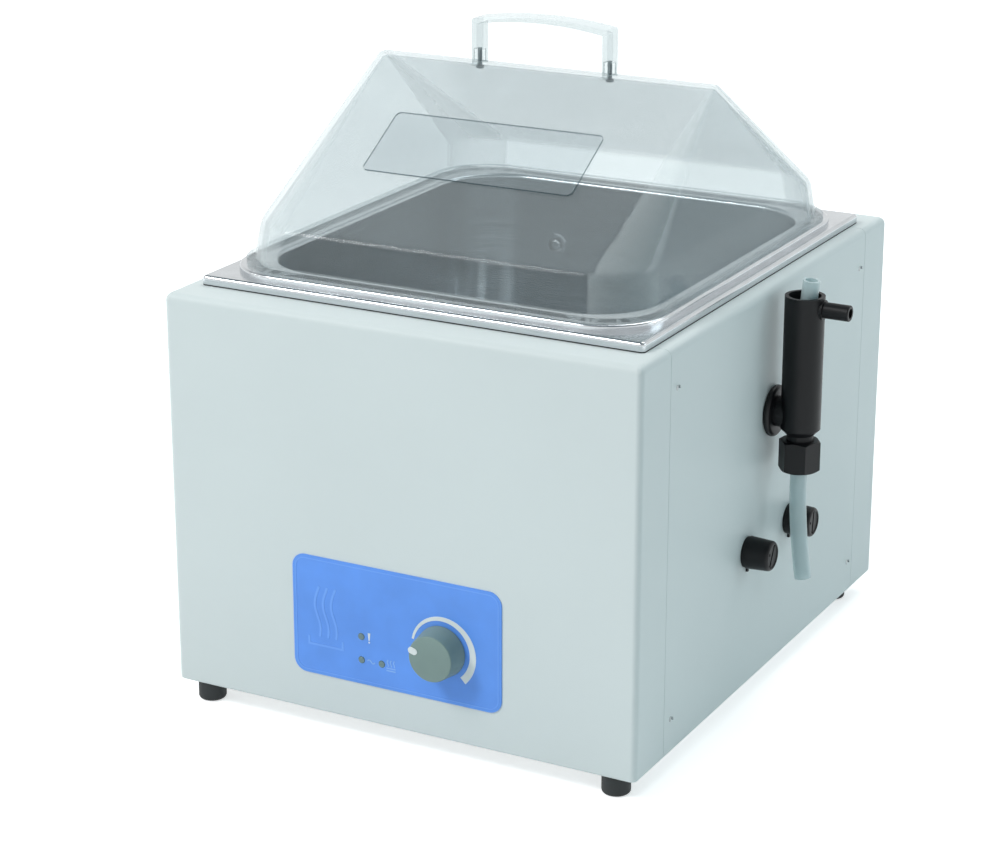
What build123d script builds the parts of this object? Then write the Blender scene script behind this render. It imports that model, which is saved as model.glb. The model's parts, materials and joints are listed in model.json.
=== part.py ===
from build123d import *
import math
import os

# A free-standing boiling water bath with a gable lid and a constant-level device.
# Millimetres. The origin is on the bench under the middle of the casing.
# X points to the right of the control panel, Y to the back and Z up.

# Casing
CASE_WIDTH = 335.0
CASE_DEPTH = 398.0
CASE_HEIGHT = 266.0
PANEL_SHEET = 1.2
CORNER_RADIUS = 4.0
TOP_BEND_RADIUS = 5.0
BOTTOM_BEND_RADIUS = 2.0
SEAM_INSET = 40.0
SEAM_GAP = 0.4
SIDE_RETURN = 22.0
JOGGLE_REACH = 20.0
JOGGLE_ROOT = 4.0
JOGGLE_END_INSET = 8.0
SIDE_SCREW_INSET = 9.5
SIDE_SCREW_TOP_INSET = 26.0
SIDE_SCREW_BOTTOM_INSET = 23.5

# Base plate and feet
BASE_SHEET = 1.5
BASE_EDGE_GAP = 1.0
FOOT_HEIGHT = 14.0
FOOT_DIAMETER = 18.5
FOOT_EDGE_RADIUS = 2.5
FOOT_SIDE_INSET = 18.5
FOOT_FRONT_INSET = 12.0
FOOT_REAR_INSET = 28.0
FOOT_RECESS_DIAMETER = 9.0
FOOT_RECESS_DEPTH = 7.0
VENT_SLOT_LENGTH = 40.0
VENT_SLOT_WIDTH = 4.0
VENT_SLOT_PITCH = 12.0
VENT_SLOT_COUNT = 5
VENT_OFFSET = 118.0
BASE_SCREW_SPREAD_X = 150.0
BASE_SCREW_SPREAD_Y = 140.0
BASE_SCREW_INSET = 15.0

# Screws and nuts
SCREW_DIAMETER = 3.5
SCREW_HEAD_DIAMETER = 7.0
SCREW_HEAD_HEIGHT = 2.2
SCREW_HEAD_RADIUS = 0.9
SCREW_REACH = 7.0
SMALL_SCREW_DIAMETER = 2.9
SMALL_HEAD_DIAMETER = 5.4
SMALL_HEAD_HEIGHT = 1.8
FIT_GAP = 0.05
HOLE_GAP = 0.1
RUNNING_GAP = 0.3

# Tank and its flange
TANK_WIDTH = 268.0
TANK_LENGTH = 296.0
TANK_DEPTH = 160.0
TANK_CORNER_RADIUS = 45.0
TANK_DRAFT = 4.0
TANK_FLOOR_RADIUS = 22.0
TANK_SHEET = 1.2
TANK_LIP_RADIUS = 2.5
RIM_WIDTH = 300.0
RIM_LENGTH = 334.0
RIM_HEIGHT = 4.0
RIM_CORNER_RADIUS = 42.0
RIM_EDGE_RADIUS = 1.8
FLANGE_WIDTH = 312.0
FLANGE_LENGTH = 346.0
FLANGE_EDGE = 5.6
FLANGE_CORNER_RADIUS = 3.0
FLANGE_BEND_RADIUS = 2.4
SEAL_THICKNESS = 0.8
SEAL_WIDTH = 5.0

# Insulation round the tank
INSULATION_THICKNESS = 12.0
INSULATION_TOP_GAP = 4.0
INSULATION_BOTTOM_GAP = 6.0

# Heater under the tank
RUN_COUNT = 6
RUN_PITCH = 40.0
RUN_LENGTH = 160.0
ELEMENT_WIDTH = 8.0
ELEMENT_HEIGHT = 5.0
TERMINAL_DIAMETER = 4.0
TERMINAL_LENGTH = 22.0
TERMINAL_HOLE_DIAMETER = 9.0
CLAMP_WIDTH = 216.0
CLAMP_LENGTH = 232.0
CLAMP_SHEET = 1.5
CLAMP_CORNER_RADIUS = 12.0
ROD_DIAMETER = 6.0
ROD_SPREAD_X = 100.0
ROD_TAIL = 3.0
NUT_ACROSS_FLATS = 10.0
NUT_HEIGHT = 5.0
PROBE_DIAMETER = 4.8
PROBE_LENGTH = 70.0
CUTOUT_DIAMETER = 16.0
CUTOUT_HEIGHT = 9.0
CUTOUT_STEM_DIAMETER = 10.0
CUTOUT_TAB_WIDTH = 6.3
CUTOUT_TAB_SHEET = 0.8
CUTOUT_TAB_LENGTH = 8.0
CUTOUT_TAB_SPREAD = 8.0

# Level sensor in the rear wall of the tank
SENSOR_X = -65.0
SENSOR_BELOW_RIM = 48.0
BUSH_DIAMETER = 15.0
BUSH_BORE = 11.0
BUSH_LENGTH = 10.0
BUSH_PROUD = 1.5
SENSOR_DIAMETER = 8.0
SENSOR_HEAD_DIAMETER = 14.0
SENSOR_HEAD_HEIGHT = 6.0

# Control panel
OVERLAY_WIDTH = 151.0
OVERLAY_HEIGHT = 81.0
OVERLAY_RADIUS = 9.0
OVERLAY_THICKNESS = 0.6
OVERLAY_FROM_BOTTOM = 26.5
LAMP_DIAMETER = 4.6
LAMP_PROUD = 0.5
LAMP_LEFT = -25.2
LAMP_COLUMN_STEP = 14.8
LAMP_UPPER = 59.1
LAMP_ROW_STEP = 16.0
BOARD_WIDTH = 128.0
BOARD_HEIGHT = 62.0
BOARD_SHEET = 1.6
BOARD_STANDOFF = 14.0
PILLAR_DIAMETER = 6.0
PILLAR_INSET = 5.0
RELAY_WIDTH = 29.0
RELAY_HEIGHT = 24.0
RELAY_DEPTH = 16.0
RELAY_X = -38.0

# Heat regulator and its knob
KNOB_X = 33.0
KNOB_FROM_BOTTOM = 61.0
KNOB_BASE_DIAMETER = 34.0
KNOB_HEIGHT = 14.5
KNOB_TAPER = 7.5
KNOB_EDGE_RADIUS = 0.8
KNOB_BACK_GAP = 0.5
KNOB_RECESS_DIAMETER = 21.0
KNOB_RECESS_DEPTH = 6.0
POINTER_LENGTH = 6.5
POINTER_WIDTH = 4.4
POINTER_DEPTH = 6.0
POINTER_PROUD = 0.3
POINTER_RADIUS = 12.6
POINTER_ANGLE = 164.0
SHAFT_DIAMETER = 6.0
SHAFT_IN_KNOB = 5.5
SHAFT_IN_BODY = 6.0
GRUB_DIAMETER = 3.0
GRUB_LENGTH = 6.0
REGULATOR_DIAMETER = 24.0
REGULATOR_DEPTH = 11.0
BUSHING_DIAMETER = 9.4
BUSHING_REACH = 5.0
REGULATOR_NUT_FLATS = 12.0
REGULATOR_NUT_HEIGHT = 2.5
REGULATOR_PIN_DIAMETER = 1.2
REGULATOR_PIN_STEP = 5.0

# Fuse holders in the right side panel
FUSE_SPREAD = 70.0
FUSE_BELOW_INSULATION = 25.7
FUSE_FLANGE_DIAMETER = 20.6
FUSE_FLANGE_THICKNESS = 1.5
FUSE_TAB_WIDTH = 2.2
FUSE_TAB_REACH = 3.2
FUSE_BARREL_DIAMETER = 14.0
FUSE_BARREL_LENGTH = 32.0
FUSE_BARREL_END = 2.0
FUSE_STEM_DIAMETER = 10.0
FUSE_STEM_LENGTH = 16.0
FUSE_NUT_FLATS = 18.0
FUSE_NUT_HEIGHT = 3.0
FUSE_LUG_WIDTH = 4.0
FUSE_LUG_SHEET = 0.8
FUSE_LUG_LENGTH = 8.0
CAP_BASE_DIAMETER = 21.6
CAP_LENGTH = 16.7
CAP_TAPER = 3.2
CAP_EDGE_RADIUS = 2.2
CAP_DISH_DIAMETER = 16.0
CAP_DISH_DEPTH = 0.8
CAP_DISH_TAPER = 45.0
CAP_SLOT_WIDTH = 1.8
CAP_SLOT_DEPTH = 2.4
CAP_MARK_DIAMETER = 2.0
CAP_MARK_DEPTH = 0.5
CAP_MARK_OFFSET = 4.5
CAP_FRONT_SLOT_ANGLE = 62.0
CAP_REAR_SLOT_ANGLE = 82.0
LINK_DIAMETER = 5.2
LINK_LENGTH = 20.0
LINK_IN_STEM = 13.0

# Mains inlet in the rear panel
INLET_X = 95.0
INLET_FROM_BOTTOM = 46.0
INLET_FLANGE_WIDTH = 50.0
INLET_FLANGE_HEIGHT = 28.0
INLET_FLANGE_RADIUS = 6.0
INLET_FLANGE_THICKNESS = 3.0
INLET_BODY_WIDTH = 27.0
INLET_BODY_HEIGHT = 20.0
INLET_BODY_DEPTH = 24.0
INLET_SOCKET_WIDTH = 23.0
INLET_SOCKET_HEIGHT = 16.0
INLET_SOCKET_DEPTH = 17.0
INLET_SOCKET_CORNER = 4.0
INLET_PIN_SPREAD = 14.0
INLET_PIN_WIDTH = 2.0
INLET_PIN_HEIGHT = 4.0
INLET_PIN_LENGTH = 16.0
INLET_PIN_TAIL = 6.0
INLET_EARTH_RISE = 2.0
INLET_SCREW_SPREAD = 40.0
INLET_NUT_FLATS = 5.5
INLET_NUT_HEIGHT = 2.4

# Terminals on the base plate
TERMINAL_BLOCK_X = 60.0
TERMINAL_BLOCK_FROM_REAR = 49.0
TERMINAL_BLOCK_WIDTH = 42.0
TERMINAL_BLOCK_DEPTH = 18.0
TERMINAL_BLOCK_HEIGHT = 15.0
TERMINAL_WAYS = 4
EARTH_STUD_X = 110.0
EARTH_STUD_FROM_REAR = 59.0
EARTH_STUD_DIAMETER = 4.0
EARTH_STUD_HEIGHT = 14.0
EARTH_NUT_FLATS = 7.0
EARTH_NUT_HEIGHT = 3.2

# Constant-level device on the right side panel
PORT_FROM_BOTTOM = 182.0
PORT_DIAMETER = 16.0
PORT_BORE = 11.0
PORT_PROUD = 2.0
PORT_IN_NECK = 8.0
COLLAR_DIAMETER = 34.0
COLLAR_THICKNESS = 4.6
COLLAR_EDGE_RADIUS = 2.2
CHAMBER_REACH = 20.0
CHAMBER_DIAMETER = 26.0
CHAMBER_BORE = 21.0
CHAMBER_BELOW_PORT = 13.0
CHAMBER_ABOVE_PORT = 80.0
CHAMBER_FLOOR = 7.0
CHAMBER_CHAMFER = 4.0
NECK_DIAMETER = 20.0
THREAD_DIAMETER = 17.5
THREAD_LENGTH = 18.0
TUBE_DIAMETER = 11.0
TUBE_BORE = 8.0
TUBE_ABOVE_CHAMBER = 10.4
TUBE_PASSAGE_GAP = 0.4
TUBE_STRAIGHT_ABOVE_PORT = 18.0
TUBE_STRAIGHT_BELOW_PORT = 46.0
TUBE_BELOW_PORT = 112.0
TUBE_TOP_RADIUS = 650.0
TUBE_TAIL_RADIUS = 380.0
SPIGOT_DIAMETER = 10.5
SPIGOT_BORE = 6.5
SPIGOT_LENGTH = 31.0
SPIGOT_BELOW_TOP = 8.0
SPIGOT_END_RADIUS = 0.8
SPIGOT_SHOULDER_DIAMETER = 13.0
SPIGOT_SHOULDER_PROUD = 0.6
GLAND_NUT_FLATS = 24.0
GLAND_NUT_HEIGHT = 20.5
GLAND_NUT_FLOOR = 3.0
GLAND_NUT_CHAMFER = 2.0
GLAND_NUT_TURN = 8.0
GLAND_SEAL_DIAMETER = 16.4

# Lid
LID_WIDTH = 286.0
LID_LENGTH = 312.0
LID_CORNER_RADIUS = 36.0
LID_LIP_WIDTH = 5.0
LID_LIP_THICKNESS = 3.0
LID_SHEET = 3.0
SKIRT_HEIGHT = 26.0
SKIRT_LEAN_X = 3.0
SKIRT_LEAN_Y = 4.0
GABLE_HEIGHT = 88.0
RIDGE_LENGTH = 246.0
RIDGE_WIDTH = 9.0
RIDGE_CORNER_RADIUS = 4.0
RIDGE_EDGE_RADIUS = 2.5
KNEE_RADIUS = 9.0
KNEE_STEPS = 4
PLATE_WIDTH = 150.0
PLATE_HEIGHT = 55.0
PLATE_THICKNESS = 1.2
PLATE_RADIUS = 4.0
PLATE_X = -5.0
PLATE_FROM_RIDGE = 55.0

# Lid handle
HANDLE_SPAN = 95.0
HANDLE_WIDTH = 16.0
HANDLE_THICKNESS = 3.5
HANDLE_LEG_HEIGHT = 29.5
HANDLE_RISE = 4.0
HANDLE_CORNER_RADIUS = 2.0
HANDLE_BOSS_DIAMETER = 8.5
HANDLE_BOSS_HEIGHT = 8.0
HANDLE_SCREW_REACH = 9.0

# Levels and faces worked out from the driving sizes
half_width = CASE_WIDTH / 2
half_depth = CASE_DEPTH / 2
case_bottom = FOOT_HEIGHT
case_top = case_bottom + CASE_HEIGHT
seam_y = half_depth - SEAM_INSET
panel_inner_x = half_width - PANEL_SHEET
flange_bottom = case_top + SEAL_THICKNESS
flange_top = flange_bottom + FLANGE_EDGE
rim_top = flange_top + RIM_HEIGHT
tank_floor = rim_top - TANK_DEPTH
tank_underside = tank_floor - TANK_SHEET
base_underside = case_bottom + PANEL_SHEET
base_top = base_underside + BASE_SHEET
port_z = case_bottom + PORT_FROM_BOTTOM
insulation_top = case_top - PANEL_SHEET - INSULATION_TOP_GAP
insulation_bottom = tank_underside + INSULATION_BOTTOM_GAP
fuse_z = insulation_bottom - FUSE_BELOW_INSULATION
knob_z = case_bottom + KNOB_FROM_BOTTOM
overlay_z = case_bottom + OVERLAY_FROM_BOTTOM + OVERLAY_HEIGHT / 2
chamber_x = half_width + CHAMBER_REACH
chamber_bottom = port_z - CHAMBER_BELOW_PORT
chamber_top = port_z + CHAMBER_ABOVE_PORT
sensor_z = rim_top - SENSOR_BELOW_RIM
knee_z = rim_top + SKIRT_HEIGHT
ridge_z = knee_z + GABLE_HEIGHT

front_face = Plane(origin=(0, -half_depth, 0), x_dir=(1, 0, 0), z_dir=(0, -1, 0))
rear_face = Plane(origin=(0, half_depth, 0), x_dir=(-1, 0, 0), z_dir=(0, 1, 0))
right_face = Plane(origin=(half_width, 0, 0), x_dir=(0, 1, 0), z_dir=(1, 0, 0))

side_screw_y = seam_y - SIDE_SCREW_INSET
side_screw_spots = [
    (y, z)
    for y in (-side_screw_y, side_screw_y)
    for z in (case_bottom + SIDE_SCREW_BOTTOM_INSET, case_top - SIDE_SCREW_TOP_INSET)
]
foot_x = half_width - FOOT_SIDE_INSET
foot_front_y = -half_depth + FOOT_FRONT_INSET
foot_rear_y = half_depth - FOOT_REAR_INSET
foot_spots = [(x, y) for x in (-foot_x, foot_x) for y in (foot_front_y, foot_rear_y)]
front_screw_y = -half_depth + BASE_SCREW_INSET
front_screw_spots = [(x, front_screw_y) for x in (-BASE_SCREW_SPREAD_X / 2, BASE_SCREW_SPREAD_X / 2)]
rear_screw_spots = [(x, -y) for x, y in front_screw_spots]
side_base_spots = [
    (x, y)
    for x in (-half_width + BASE_SCREW_INSET, half_width - BASE_SCREW_INSET)
    for y in (-BASE_SCREW_SPREAD_Y / 2, BASE_SCREW_SPREAD_Y / 2)
]
rod_spots = [(x, y) for x in (-ROD_SPREAD_X / 2, ROD_SPREAD_X / 2) for y in (-2 * RUN_PITCH, 2 * RUN_PITCH)]
lamp_spots = [
    (LAMP_LEFT, case_bottom + LAMP_UPPER),
    (LAMP_LEFT, case_bottom + LAMP_UPPER - LAMP_ROW_STEP),
    (LAMP_LEFT + LAMP_COLUMN_STEP, case_bottom + LAMP_UPPER - LAMP_ROW_STEP),
]
terminal_block_spot = (TERMINAL_BLOCK_X, half_depth - TERMINAL_BLOCK_FROM_REAR)
earth_stud_spot = (EARTH_STUD_X, half_depth - EARTH_STUD_FROM_REAR)
pillar_x = BOARD_WIDTH / 2 - PILLAR_INSET
pillar_z = BOARD_HEIGHT / 2 - PILLAR_INSET
pillar_spots = [(x, overlay_z + z) for x in (-pillar_x, pillar_x) for z in (-pillar_z, pillar_z)]


def finish(part, name):
    """Label a finished piece and write it to its own STEP file."""
    part.label = name
    export_step(part, f"parts/{name}.step")


def pan_screw(plane, spots, diameter, head_diameter, head_height, reach):
    """Pan-head screws whose heads stand on a plane and whose shanks run back through it."""
    with BuildPart() as screws:
        with BuildSketch(plane):
            with Locations(*spots):
                Circle(head_diameter / 2)
        extrude(amount=head_height)
        head_tops = screws.faces().sort_by(Axis(plane.origin, plane.z_dir))[-len(spots) :]
        fillet(head_tops.edges(), SCREW_HEAD_RADIUS)
        with BuildSketch(plane):
            with Locations(*spots):
                Circle(diameter / 2)
        extrude(amount=-reach)
    return screws.part


def case_screw(plane, spots, reach):
    """The screws that hold the casing's sheets and feet."""
    return pan_screw(plane, spots, SCREW_DIAMETER, SCREW_HEAD_DIAMETER, SCREW_HEAD_HEIGHT, reach)


def small_screw(plane, spots, reach):
    """The smaller screws of the control board, the inlet and the lid handle."""
    return pan_screw(plane, spots, SMALL_SCREW_DIAMETER, SMALL_HEAD_DIAMETER, SMALL_HEAD_HEIGHT, reach)


def hex_nut(plane, spots, flats, height, bore):
    """Hexagon nuts that stand on a plane."""
    with BuildPart() as nuts:
        with BuildSketch(plane):
            with Locations(*spots):
                RegularPolygon(flats / 2, 6, major_radius=False)
                Circle(bore / 2, mode=Mode.SUBTRACT)
        extrude(amount=height)
    return nuts.part


os.makedirs("parts", exist_ok=True)


# Front and rear panels: wrapped sheets that turn round the corners to the side seams


def wrapped_block(inset):
    """The solid that the front sheet wraps, or the space inside it at a distance within."""
    with BuildPart() as block:
        front = -half_depth + inset
        back = -seam_y + inset
        with BuildSketch(Plane.XY.offset(case_bottom + inset)):
            with Locations((0, (front + back) / 2)):
                Rectangle(CASE_WIDTH - 2 * inset, back - front)
        extrude(amount=CASE_HEIGHT - 2 * inset)
        fillet(block.edges().filter_by(Axis.Z).group_by(Axis.Y)[0], CORNER_RADIUS - inset)
        top_edges = block.faces().sort_by(Axis.Z)[-1].edges().sort_by(Axis.Y)[:-1]
        fillet(top_edges, TOP_BEND_RADIUS - inset)
        bottom_edges = block.faces().sort_by(Axis.Z)[0].edges().sort_by(Axis.Y)[:-1]
        fillet(bottom_edges, BOTTOM_BEND_RADIUS - inset)
    return block.part


def end_panel():
    """The wrapped sheet at the front: face, side returns, top bend and bottom return."""
    with BuildPart() as sheet:
        add(wrapped_block(0))
        add(wrapped_block(PANEL_SHEET), mode=Mode.SUBTRACT)
        # Joggled strips that lie behind the side panels and take their screws
        with BuildSketch(Plane.XY.offset(case_bottom + JOGGLE_END_INSET)):
            strip_x = panel_inner_x - PANEL_SHEET / 2
            strip_y = -seam_y + (JOGGLE_REACH - JOGGLE_ROOT) / 2
            with Locations((-strip_x, strip_y), (strip_x, strip_y)):
                Rectangle(PANEL_SHEET, JOGGLE_REACH + JOGGLE_ROOT)
        extrude(amount=CASE_HEIGHT - 2 * JOGGLE_END_INSET)
        with BuildSketch(Plane.YZ.offset(-half_width)):
            with Locations(*[spot for spot in side_screw_spots if spot[0] < 0]):
                Circle(SCREW_DIAMETER / 2 + HOLE_GAP)
        extrude(amount=CASE_WIDTH, mode=Mode.SUBTRACT)
        with BuildSketch(Plane.XY.offset(case_bottom)):
            with Locations(*front_screw_spots):
                Circle(SCREW_DIAMETER / 2 + HOLE_GAP)
        extrude(amount=base_top - case_bottom, mode=Mode.SUBTRACT)
    return sheet.part


with BuildPart() as front_panel:
    add(end_panel())
    with BuildSketch(Plane.XY.offset(case_bottom)):
        with Locations(*[spot for spot in foot_spots if spot[1] < 0]):
            Circle(SCREW_DIAMETER / 2 + HOLE_GAP)
    extrude(amount=PANEL_SHEET, mode=Mode.SUBTRACT)
    with BuildSketch(front_face):
        with Locations(*lamp_spots):
            Circle(LAMP_DIAMETER / 2 + HOLE_GAP)
        with Locations((KNOB_X, knob_z)):
            Circle(BUSHING_DIAMETER / 2 + HOLE_GAP)
    extrude(amount=-PANEL_SHEET, mode=Mode.SUBTRACT)
finish(front_panel.part, "front_panel")

with BuildPart() as rear_panel:
    add(mirror(end_panel(), about=Plane.XZ))
    with BuildSketch(Plane.XY.offset(case_bottom)):
        with Locations(*[spot for spot in foot_spots if spot[1] > 0]):
            Circle(SCREW_DIAMETER / 2 + HOLE_GAP)
    extrude(amount=PANEL_SHEET, mode=Mode.SUBTRACT)
    with BuildSketch(rear_face):
        with Locations((-INLET_X, case_bottom + INLET_FROM_BOTTOM)):
            Rectangle(INLET_BODY_WIDTH + 2 * HOLE_GAP, INLET_BODY_HEIGHT + 2 * HOLE_GAP)
            with Locations((-INLET_SCREW_SPREAD / 2, 0), (INLET_SCREW_SPREAD / 2, 0)):
                Circle(SMALL_SCREW_DIAMETER / 2 + HOLE_GAP)
    extrude(amount=-PANEL_SHEET, mode=Mode.SUBTRACT)
finish(rear_panel.part, "rear_panel")


# Side panels: channels between the seams, flush with the wrapped sheets


def channel_block(inset):
    """The solid that the right side sheet wraps, or the space inside it at a distance within."""
    with BuildPart() as block:
        inner = half_width - SIDE_RETURN - inset
        outer = half_width - inset
        with BuildSketch(Plane.XY.offset(case_bottom + inset)):
            with Locations(((inner + outer) / 2, 0)):
                Rectangle(outer - inner, 2 * (seam_y - SEAM_GAP + inset))
        extrude(amount=CASE_HEIGHT - 2 * inset)
        fillet(block.faces().sort_by(Axis.Z)[-1].edges().sort_by(Axis.X)[-1], TOP_BEND_RADIUS - inset)
        fillet(block.faces().sort_by(Axis.Z)[0].edges().sort_by(Axis.X)[-1], BOTTOM_BEND_RADIUS - inset)
    return block.part


def side_panel():
    """The right side panel, with its top and bottom turned inwards."""
    with BuildPart() as sheet:
        add(channel_block(0))
        add(channel_block(PANEL_SHEET), mode=Mode.SUBTRACT)
        with BuildSketch(right_face):
            with Locations(*side_screw_spots):
                Circle(SCREW_DIAMETER / 2 + HOLE_GAP)
        extrude(amount=-PANEL_SHEET, mode=Mode.SUBTRACT)
        with BuildSketch(Plane.XY.offset(case_bottom)):
            with Locations(*[spot for spot in side_base_spots if spot[0] > 0]):
                Circle(SCREW_DIAMETER / 2 + HOLE_GAP)
        extrude(amount=PANEL_SHEET, mode=Mode.SUBTRACT)
    return sheet.part


with BuildPart() as side_panel_left:
    add(mirror(side_panel(), about=Plane.YZ))
finish(side_panel_left.part, "side_panel_left")

with BuildPart() as side_panel_right:
    add(side_panel())
    with BuildSketch(right_face):
        with Locations((0, port_z)):
            Circle(PORT_DIAMETER / 2 + 2 * HOLE_GAP)
        with Locations((-FUSE_SPREAD / 2, fuse_z), (FUSE_SPREAD / 2, fuse_z)):
            Circle(FUSE_BARREL_DIAMETER / 2 + HOLE_GAP)
    extrude(amount=-PANEL_SHEET, mode=Mode.SUBTRACT)
finish(side_panel_right.part, "side_panel_right")

with BuildPart() as side_panel_screws:
    right_screws = case_screw(right_face, side_screw_spots, SCREW_REACH)
    add(right_screws)
    add(mirror(right_screws, about=Plane.YZ))
finish(side_panel_screws.part, "side_panel_screws")


# Base plate, its screws and the rubber feet

with BuildPart() as base_plate:
    with BuildSketch(Plane.XY.offset(base_underside)):
        plate_width = 2 * (panel_inner_x - PANEL_SHEET - BASE_EDGE_GAP)
        plate_length = 2 * (half_depth - PANEL_SHEET - BASE_EDGE_GAP)
        RectangleRounded(plate_width, plate_length, CORNER_RADIUS)
        with Locations(*front_screw_spots, *rear_screw_spots, *side_base_spots, *foot_spots):
            Circle(SCREW_DIAMETER / 2 + HOLE_GAP, mode=Mode.SUBTRACT)
        with Locations(*rod_spots):
            Circle(ROD_DIAMETER / 2 + HOLE_GAP, mode=Mode.SUBTRACT)
        with Locations(earth_stud_spot):
            Circle(EARTH_STUD_DIAMETER / 2 + HOLE_GAP, mode=Mode.SUBTRACT)
        for side in (-1, 1):
            with Locations((0, side * VENT_OFFSET)):
                with GridLocations(0, VENT_SLOT_PITCH, 1, VENT_SLOT_COUNT):
                    SlotOverall(VENT_SLOT_LENGTH, VENT_SLOT_WIDTH, mode=Mode.SUBTRACT)
    extrude(amount=BASE_SHEET)
finish(base_plate.part, "base_plate")

case_underside = Plane(origin=(0, 0, case_bottom), x_dir=(1, 0, 0), z_dir=(0, 0, -1))

with BuildPart() as base_screws:
    spots = [(x, -y) for x, y in front_screw_spots + rear_screw_spots + side_base_spots]
    add(case_screw(case_underside, spots, SCREW_REACH))
finish(base_screws.part, "base_screws")


def rubber_foot(spot):
    """One round foot with a recess for its screw."""
    with BuildPart() as foot:
        with BuildSketch():
            with Locations(spot):
                Circle(FOOT_DIAMETER / 2)
        extrude(amount=FOOT_HEIGHT)
        fillet(foot.faces().sort_by(Axis.Z)[0].edges(), FOOT_EDGE_RADIUS)
        with BuildSketch():
            with Locations(spot):
                Circle(FOOT_RECESS_DIAMETER / 2)
        extrude(amount=FOOT_RECESS_DEPTH, mode=Mode.SUBTRACT)
        with BuildSketch():
            with Locations(spot):
                Circle(SCREW_DIAMETER / 2 + HOLE_GAP)
        extrude(amount=FOOT_HEIGHT, mode=Mode.SUBTRACT)
    return foot.part


for foot_name, spot in (
    ("foot_front_left", (-foot_x, foot_front_y)),
    ("foot_front_right", (foot_x, foot_front_y)),
    ("foot_rear_left", (-foot_x, foot_rear_y)),
    ("foot_rear_right", (foot_x, foot_rear_y)),
):
    finish(rubber_foot(spot), foot_name)

recess_roof = Plane(origin=(0, 0, FOOT_RECESS_DEPTH), x_dir=(1, 0, 0), z_dir=(0, 0, -1))
with BuildPart() as foot_screws:
    foot_screw_reach = FOOT_HEIGHT - FOOT_RECESS_DEPTH + SCREW_REACH
    spots = [(x, -y) for x, y in foot_spots]
    add(case_screw(recess_roof, spots, foot_screw_reach))
finish(foot_screws.part, "foot_screws")


# Tank: a deep-drawn bowl with a raised rim and a folded flange in one sheet


def tank_half_x(z):
    """Half the width inside the tank at a height, where the walls draw in towards the floor."""
    return TANK_WIDTH / 2 - TANK_DRAFT * (rim_top - z) / TANK_DEPTH


def tank_half_y(z):
    """Half the length inside the tank at a height."""
    return TANK_LENGTH / 2 - TANK_DRAFT * (rim_top - z) / TANK_DEPTH


def bowl(grow, top, bottom):
    """The drawn bowl as a solid form, grown outwards all round by an offset."""
    with BuildPart() as form:
        for level in (bottom, top):
            draw_in = TANK_DRAFT * (rim_top - level) / TANK_DEPTH
            with BuildSketch(Plane.XY.offset(level)):
                RectangleRounded(
                    TANK_WIDTH + 2 * (grow - draw_in),
                    TANK_LENGTH + 2 * (grow - draw_in),
                    TANK_CORNER_RADIUS + grow - draw_in,
                )
        loft(ruled=True)
    return form


with BuildPart() as tank:
    # Folded flange
    with BuildSketch(Plane.XY.offset(flange_bottom)):
        RectangleRounded(FLANGE_WIDTH, FLANGE_LENGTH, FLANGE_CORNER_RADIUS)
    extrude(amount=FLANGE_EDGE)
    fillet(tank.faces().sort_by(Axis.Z)[-1].edges(), FLANGE_BEND_RADIUS)
    with BuildSketch(Plane.XY.offset(flange_bottom)):
        RectangleRounded(
            FLANGE_WIDTH - 2 * TANK_SHEET, FLANGE_LENGTH - 2 * TANK_SHEET, FLANGE_CORNER_RADIUS - TANK_SHEET
        )
    extrude(amount=FLANGE_EDGE - TANK_SHEET, mode=Mode.SUBTRACT)
    # Raised rim
    with BuildSketch(Plane.XY.offset(flange_top - TANK_SHEET)):
        RectangleRounded(RIM_WIDTH, RIM_LENGTH, RIM_CORNER_RADIUS)
    extrude(amount=RIM_HEIGHT + TANK_SHEET)
    fillet(tank.faces().sort_by(Axis.Z)[-1].edges(), RIM_EDGE_RADIUS)
    with BuildSketch(Plane.XY.offset(flange_bottom)):
        RectangleRounded(
            RIM_WIDTH - 2 * TANK_SHEET, RIM_LENGTH - 2 * TANK_SHEET, RIM_CORNER_RADIUS - TANK_SHEET
        )
    extrude(amount=rim_top - TANK_SHEET - flange_bottom, mode=Mode.SUBTRACT)
    # Bowl
    outer_bowl = bowl(TANK_SHEET, rim_top, tank_underside)
    with outer_bowl:
        fillet(outer_bowl.faces().sort_by(Axis.Z)[0].edges(), TANK_FLOOR_RADIUS + TANK_SHEET)
    add(outer_bowl.part)
    inner_bowl = bowl(0, rim_top, tank_floor)
    with inner_bowl:
        fillet(inner_bowl.faces().sort_by(Axis.Z)[0].edges(), TANK_FLOOR_RADIUS)
    add(inner_bowl.part, mode=Mode.SUBTRACT)
    mouth = tank.faces().filter_by(Plane.XY).sort_by(Axis.Z)[-1].inner_wires()[0].edges()
    fillet(mouth, TANK_LIP_RADIUS)
    # Holes for the level port and the sensor bush
    with BuildSketch(Plane.YZ):
        with Locations((0, port_z)):
            Circle(PORT_DIAMETER / 2 + FIT_GAP)
    extrude(amount=half_width, mode=Mode.SUBTRACT)
    with BuildSketch(Plane.XZ):
        with Locations((SENSOR_X, sensor_z)):
            Circle(BUSH_DIAMETER / 2 + FIT_GAP)
    extrude(amount=-half_depth, mode=Mode.SUBTRACT)
finish(tank.part, "tank")

with BuildPart() as tank_seal:
    with BuildSketch(Plane.XY.offset(case_top)):
        RectangleRounded(FLANGE_WIDTH, FLANGE_LENGTH, FLANGE_CORNER_RADIUS)
        Rectangle(FLANGE_WIDTH - 2 * SEAL_WIDTH, FLANGE_LENGTH - 2 * SEAL_WIDTH, mode=Mode.SUBTRACT)
    extrude(amount=SEAL_THICKNESS)
finish(tank_seal.part, "tank_seal")

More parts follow.
